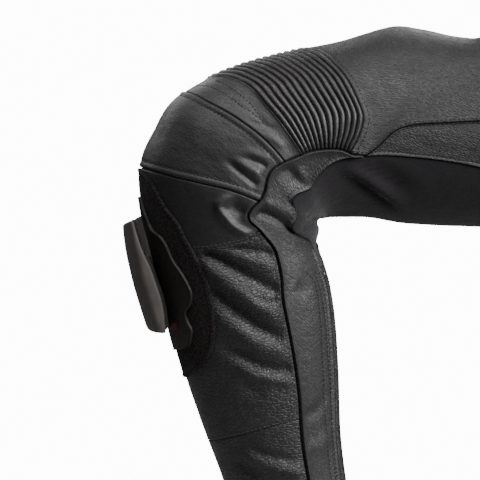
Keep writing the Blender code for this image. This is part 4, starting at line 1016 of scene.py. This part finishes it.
def slider_plastic(name, dark, light, rough):
    """Cast or moulded plastic, satin, with a fine mould texture and a few soft scuffs 2 mm wide."""
    material, tree, solid, _ = start_material(name)
    scuffs = add(tree, "Mapping", {"Vector": solid, "Scale": per_mm(2, 9, 16)})
    scuffs = add(tree, "TexNoise", {"Vector": scuffs, "Scale": 1.0, "Detail": 4.0, "Roughness": 0.6})
    scuffs = add(tree, "MapRange", {"Value": scuffs, **SPREAD})
    mould = add(tree, "TexNoise", {"Vector": solid, "Scale": 1000 / 0.6, "Detail": 3.0, "Roughness": 0.55})
    mould = add(tree, "MapRange", {"Value": mould, **SPREAD})
    relief = add(tree, "Bump", {"Height": mould, "Distance": 0.00005, "Strength": 0.5})
    colour = add(tree, "Mix", {0: scuffs, 6: linear(dark), 7: linear(light)}, data_type="RGBA").outputs[2]
    gloss = add(tree, "MapRange", {"Value": scuffs, "To Min": rough - 0.06, "To Max": rough + 0.10})
    shader = add(tree, "BsdfPrincipled", {"Base Color": colour, "Roughness": gloss, "Normal": relief,
                                          "Specular IOR Level": 0.5})
    add(tree, "OutputMaterial", {"Surface": shader})
    return material


SLIDER_FINISH = slider_plastic("Cast polyurethane, charcoal", "#3e3b39", "#4c4846", 0.66)
last_row = len(PUCK_FACE) - 1
slab = loft(puck_sections(np.linspace(0, last_row, 73), PUCK_HALF, lambda place, wall: (0.0, wall), 0.0042))
foot = loft(puck_sections(np.linspace(3.4, last_row - 0.5, 40), FOOT_HALF,
                          lambda place, wall: (wall - 0.001, wall + 0.0090), 0.0020))
make_pair("slider_puck", *joined([slab, foot]), SLIDER_FINISH, "slider_plastic", "slider", smooth_to=60)


# ---- Slider grip ----
# A small dark red moulding on the plate, beside the slider's lower end. It is satin nylon, let into the
# rubber, with its edges broken.

RED_FINISH = slider_plastic("Moulded red nylon", "#2e090b", "#4e1012", 0.5)


def refinish(node, finish, bevel):
    """A CAD piece that keeps its shape, with its edges broken."""
    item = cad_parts[node]
    item.data.materials.clear()
    item.data.materials.append(finish)
    edge = item.modifiers.new("Broken edges", "BEVEL")
    edge.width, edge.segments, edge.limit_method, edge.angle_limit = bevel, 3, "ANGLE", math.radians(30)
    item.modifiers.new("Weighted normals", "WEIGHTED_NORMAL")


for side in SIDES:
    refinish(f"slider_insert_{side}", RED_FINISH, 0.0007)


# ---- Zips ----
# A zip closes each calf down to the hem, and one closes the fly. Each is woven tape with two rows of
# brass teeth that mesh along its middle. The calf zip has a wire stop at its upper end.

def woven_tape():
    """Herringbone polyester tape, black and matt. Its twill lines are drawn 1 mm apart, about twice their
    distance, so that they show."""
    material, tree, _, flat = start_material("Woven polyester tape")
    twill = add(tree, "TexWave", {"Vector": flat, "Scale": BANDS / 0.69087, "Distortion": 0.4},
                bands_direction="DIAGONAL").outputs["Fac"]
    relief = add(tree, "Bump", {"Height": twill, "Distance": 0.00015, "Strength": 0.8})
    colour = add(tree, "Mix", {0: twill, 6: linear("#0d0d0e"), 7: linear("#1c1c1e")}, data_type="RGBA")
    shader = add(tree, "BsdfPrincipled", {
        "Base Color": colour.outputs[2], "Roughness": 0.8, "Normal": relief, "Specular IOR Level": 0.3,
        "Sheen Weight": 0.1})
    add(tree, "OutputMaterial", {"Surface": shader})
    return material


def metal(name, dark, light, rough):
    """Die-cast metal, brushed and handled. Its brush lines are drawn 0.5 mm apart, wider than real ones, so
    that they show, and some are duller than others."""
    material, tree, solid, _ = start_material(name)
    rubbed = add(tree, "Mapping", {"Vector": solid, "Scale": per_mm(0.5, 4)})
    rubbed = add(tree, "TexNoise", {"Vector": rubbed, "Scale": 1.0, "Detail": 3.0, "Roughness": 0.55})
    rubbed = add(tree, "MapRange", {"Value": rubbed, **SPREAD})
    relief = add(tree, "Bump", {"Height": rubbed, "Distance": 0.00002, "Strength": 0.5})
    colour = add(tree, "Mix", {0: rubbed, 6: linear(dark), 7: linear(light)}, data_type="RGBA").outputs[2]
    gloss = add(tree, "MapRange", {"Value": rubbed, "To Min": rough - 0.06, "To Max": rough + 0.12})
    shader = add(tree, "BsdfPrincipled", {"Base Color": colour, "Metallic": 1.0, "Roughness": gloss,
                                          "Normal": relief})
    add(tree, "OutputMaterial", {"Surface": shader})
    return material


TAPE_FINISH = woven_tape()
TOOTH_FINISH = metal("Blackened brass teeth", "#2a2826", "#4a4744", 0.38)
PULL_FINISH = metal("Brushed gunmetal", "#6d6d70", "#9b9ba0", 0.32)
TAPE, TOOTH_PITCH = 0.0012, 0.00125       # thickness of the tape, and from tooth to tooth


def make_middle_sheet(name, wall, material, uv, slot_name, node, base):
    """A cloth piece that crosses the middle and is held by both halves of the waistband."""
    item = make_mesh(name, *wall, material, uv)
    hang(item, slot_name, node)
    size, area = flat_size(base)


def zip_teeth(line, ways):
    """Points and faces of two meshed rows along a line."""
    places, along_it, out = spread(line, ways, TOOTH_PITCH)
    across = np.cross(out, along_it)
    hand = np.where(np.arange(len(places)) % 2 == 0, 1, -1)[:, None]
    shape, faces = bead([(-0.0017, 0.0001, 0), (-0.0014, 0.0005, 0), (0.0010, 0.0006, 0.0001),
                         (0.0014, 0.0003, 0), (0.0016, 0.0001, 0)], 6)
    return copies(shape * (1, 0.85, 1), faces, places + across * hand * 0.0009, across * -hand, out,
                  sink=-0.0002)


make_panel("calf_zip", "tape", TAPE_FINISH, "zip_tape", TAPE)
left_edge, right_edge, _, _ = panel_edges("calf_zip")
middle = sum(along(edge, np.linspace(0.02, 0.995, 80)) for edge in (left_edge, right_edge)) / 2
zip_line, zip_ways = surface(*middle.T), normal(*middle.T)
make_pair("calf_zip_teeth", *zip_teeth(zip_line, zip_ways), TOOTH_FINISH, "metal", smooth_to=60)

# A wire stop ends the teeth at the top.
stop_at, stop_way, stop_out = (rows[:1] for rows in spread(zip_line, zip_ways, TOOTH_PITCH))
shape, faces = bead([(-0.0016, 0.0002, 0.0004), (-0.0013, 0.0016, 0.0008), (0.0013, 0.0016, 0.0008),
                     (0.0016, 0.0002, 0.0004)], 10)
points, quads = copies(shape * (1, 1.5, 0.8), faces, stop_at, stop_way, stop_out)
make_pair("calf_zip_stop", points, quads, PULL_FINISH, "metal")

# The fly's tape is one piece across the middle.
fly_at = panel_grid(*panel_edges("fly_zip"), 0.0030)
fly_base, fly_out = surface(fly_at[..., 0], fly_at[..., 1]), normal(fly_at[..., 0], fly_at[..., 1])
fly_base[:, 0, 0] = 0
fly_base, fly_out = (np.concatenate([(half * (-1, 1, 1))[:, :0:-1], half], axis=1)
                     for half in (fly_base, fly_out))
fly_heights = sum(ridges(s, EDGES["under"]) for s in distances(fly_base)[:2]) + 0.0002
fly_top = fly_base + fly_out * fly_heights[..., None]
make_middle_sheet("fly_zip_tape", closed_wall(fly_top, fly_top - fly_out * TAPE), TAPE_FINISH,
                  cut_uv(fly_base), "zip_tape", "fly_zip", fly_base)
centre = fly_base.shape[1] // 2
fly_teeth = zip_teeth(fly_top[:, centre], fly_out[:, centre])
hang(make_mesh("fly_zip_teeth", *fly_teeth, TOOTH_FINISH, smooth_to=60), "metal")

for node in ("calf_pull_left_slider", "calf_pull_left_tab", "calf_pull_right_slider", "calf_pull_right_tab",
             "fly_pull_slider", "fly_pull_tab"):
    refinish(node, PULL_FINISH, 0.00022)


# ---- Waist tab ----
# A tab of the same cowhide closes the waistband over the fly. Its edges are turned and pressed, and a
# domed snap of gunmetal holds it shut.

def waist_tab_grid():
    """The tab's points, outward directions and heights over the waistband, rounded at its corners."""
    start, stop = -24, 14                       # degrees from the middle, negative on the wearer's right
    turns, rise = np.linspace(start, stop, 90), np.linspace(0, 1, 26)
    sway = np.where(turns < 0, turns - start, stop - turns)
    inset = 0.14 * (1 - np.sqrt(np.clip(1 - (1 - np.clip(sway / 4, 0, 1)) ** 2, 0, 1)))
    ring_at = 0.2 + inset[None] + rise[:, None] * (0.6 - 2 * inset[None])
    angle_at = np.broadcast_to(-180 + np.abs(turns), ring_at.shape)
    hand = np.where(turns < 0, -1, 1)[None, :, None] * (1, 0, 0) + (0, 1, 1)
    base, out = surface(ring_at, angle_at), normal(ring_at, angle_at)
    base[:, np.abs(turns) < 0.4, 0] = 0
    base, out = base * hand, unit(out * hand)
    rolled = ridges(np.minimum.reduce(distances(base)), [(0.0004, 0.002, 0.0024), (-0.0010, 0.0007, 0)])
    return base, out, 0.0026 + rolled


tab_base, tab_out, tab_heights = waist_tab_grid()
tab_wall = closed_wall(tab_base + tab_out * tab_heights[..., None], tab_base + tab_out * 0.0006)
make_middle_sheet("waist_tab_hide", tab_wall, HIDE_FINISH, cut_uv(tab_base, centred=False), "leather",
                  "waist_tab", tab_base)
refinish("waist_snap", PULL_FINISH, 0.0004)


# ---- Camera, light and floor ----
# A long lens looks at the outside of the wearer's bent left knee, from just above it. A big soft light
# stands behind it, small ones fill the rest, and the studio's white shows only to the camera.

AIM = Vector((0.215, -0.3696, -0.3257))
DISTANCE, FRAME_WIDTH, TILT = 3.16, 0.456, 1.2        # metres, metres and degrees
LEFT_KNEE = (0.15, -0.33, -0.3)
ROOM_LIGHT, WHITE = 0.012, 13.0                       # strengths of the dim room and of the white seen


def facing(item, target):
    """Turns a camera or light towards a place."""
    item.rotation_euler = (Vector(target) - item.location).to_track_quat("-Z", "Y").to_euler()


camera = bpy.data.objects.new("Camera", bpy.data.cameras.new("Camera"))
bpy.context.scene.collection.objects.link(camera)
bpy.context.scene.camera = camera
camera.location = AIM + Vector((DISTANCE, 0, DISTANCE * math.tan(math.radians(TILT))))
facing(camera, AIM)
camera.data.sensor_width, camera.data.lens = 36, 36 * DISTANCE / FRAME_WIDTH

# Each light's place, what it faces, its width and height, and its watts.
for light_name, place, target, width, height, watts in [
        ("Key", (1.35, 1.85, 0.85), LEFT_KNEE, 2.0, 1.6, 145),
        ("Overhead", (1.3, 0.2, 1.5), LEFT_KNEE, 1.6, 1.4, 35),
        ("Fill", (0.9, -0.9, 1.4), LEFT_KNEE, 1.4, 1.4, 17),
        ("Far side", (-1.9, 0.9, 0.7), (-0.15, -0.1, -0.3), 1.8, 1.6, 60),
        ("Far fill", (-1.5, -1.3, 1.2), (-0.15, -0.2, -0.3), 1.6, 1.4, 22),
        ("Front fill", (-0.7, -2.3, 0.9), (0.0, -0.1, -0.1), 1.4, 1.2, 8)]:
    light = bpy.data.lights.new(light_name, "AREA")
    light.shape, light.size, light.size_y, light.energy = "RECTANGLE", width, height, watts
    lamp = bpy.data.objects.new(light_name, light)
    lamp.location = place
    facing(lamp, target)
    bpy.context.scene.collection.objects.link(lamp)

world = bpy.data.worlds.new("Studio")
bpy.context.scene.world = world
world.use_nodes = True
tree = world.node_tree
tree.nodes.clear()
seen = add(tree, "LightPath").outputs["Is Camera Ray"]
dim = add(tree, "Background", {"Color": (1, 1, 1, 1), "Strength": ROOM_LIGHT})
white = add(tree, "Background", {"Color": (1, 1, 1, 1), "Strength": WHITE})
add(tree, "OutputWorld", {"Surface": add(tree, "MixShader", {0: seen, 1: dim, 2: white})})

FLOOR_LEVEL = -0.662                                  # 6 mm under the hems
floor_mesh = bpy.data.meshes.new("Floor")
floor_mesh.from_pydata([(x, y, FLOOR_LEVEL) for x, y in ((-0.8, -0.9), (0.7, -0.9), (0.7, 0.6), (-0.8, 0.6))],
                       [], [(0, 1, 2, 3)])
floor_finish, tree, solid, _ = start_material("Matt studio floor")
patches = add(tree, "TexNoise", {"Vector": solid, "Scale": 1000 / 90, "Detail": 3.0, "Roughness": 0.55})
patches = add(tree, "MapRange", {"Value": patches, **SPREAD})
colour = add(tree, "Mix", {0: patches, 6: linear("#9a9997"), 7: linear("#a5a4a2")}, data_type="RGBA")
shader = add(tree, "BsdfPrincipled", {"Base Color": colour.outputs[2], "Roughness": 0.9})
add(tree, "OutputMaterial", {"Surface": shader})
floor_mesh.materials.append(floor_finish)
floor = bpy.data.objects.new("Floor", floor_mesh)
bpy.context.scene.collection.objects.link(floor)
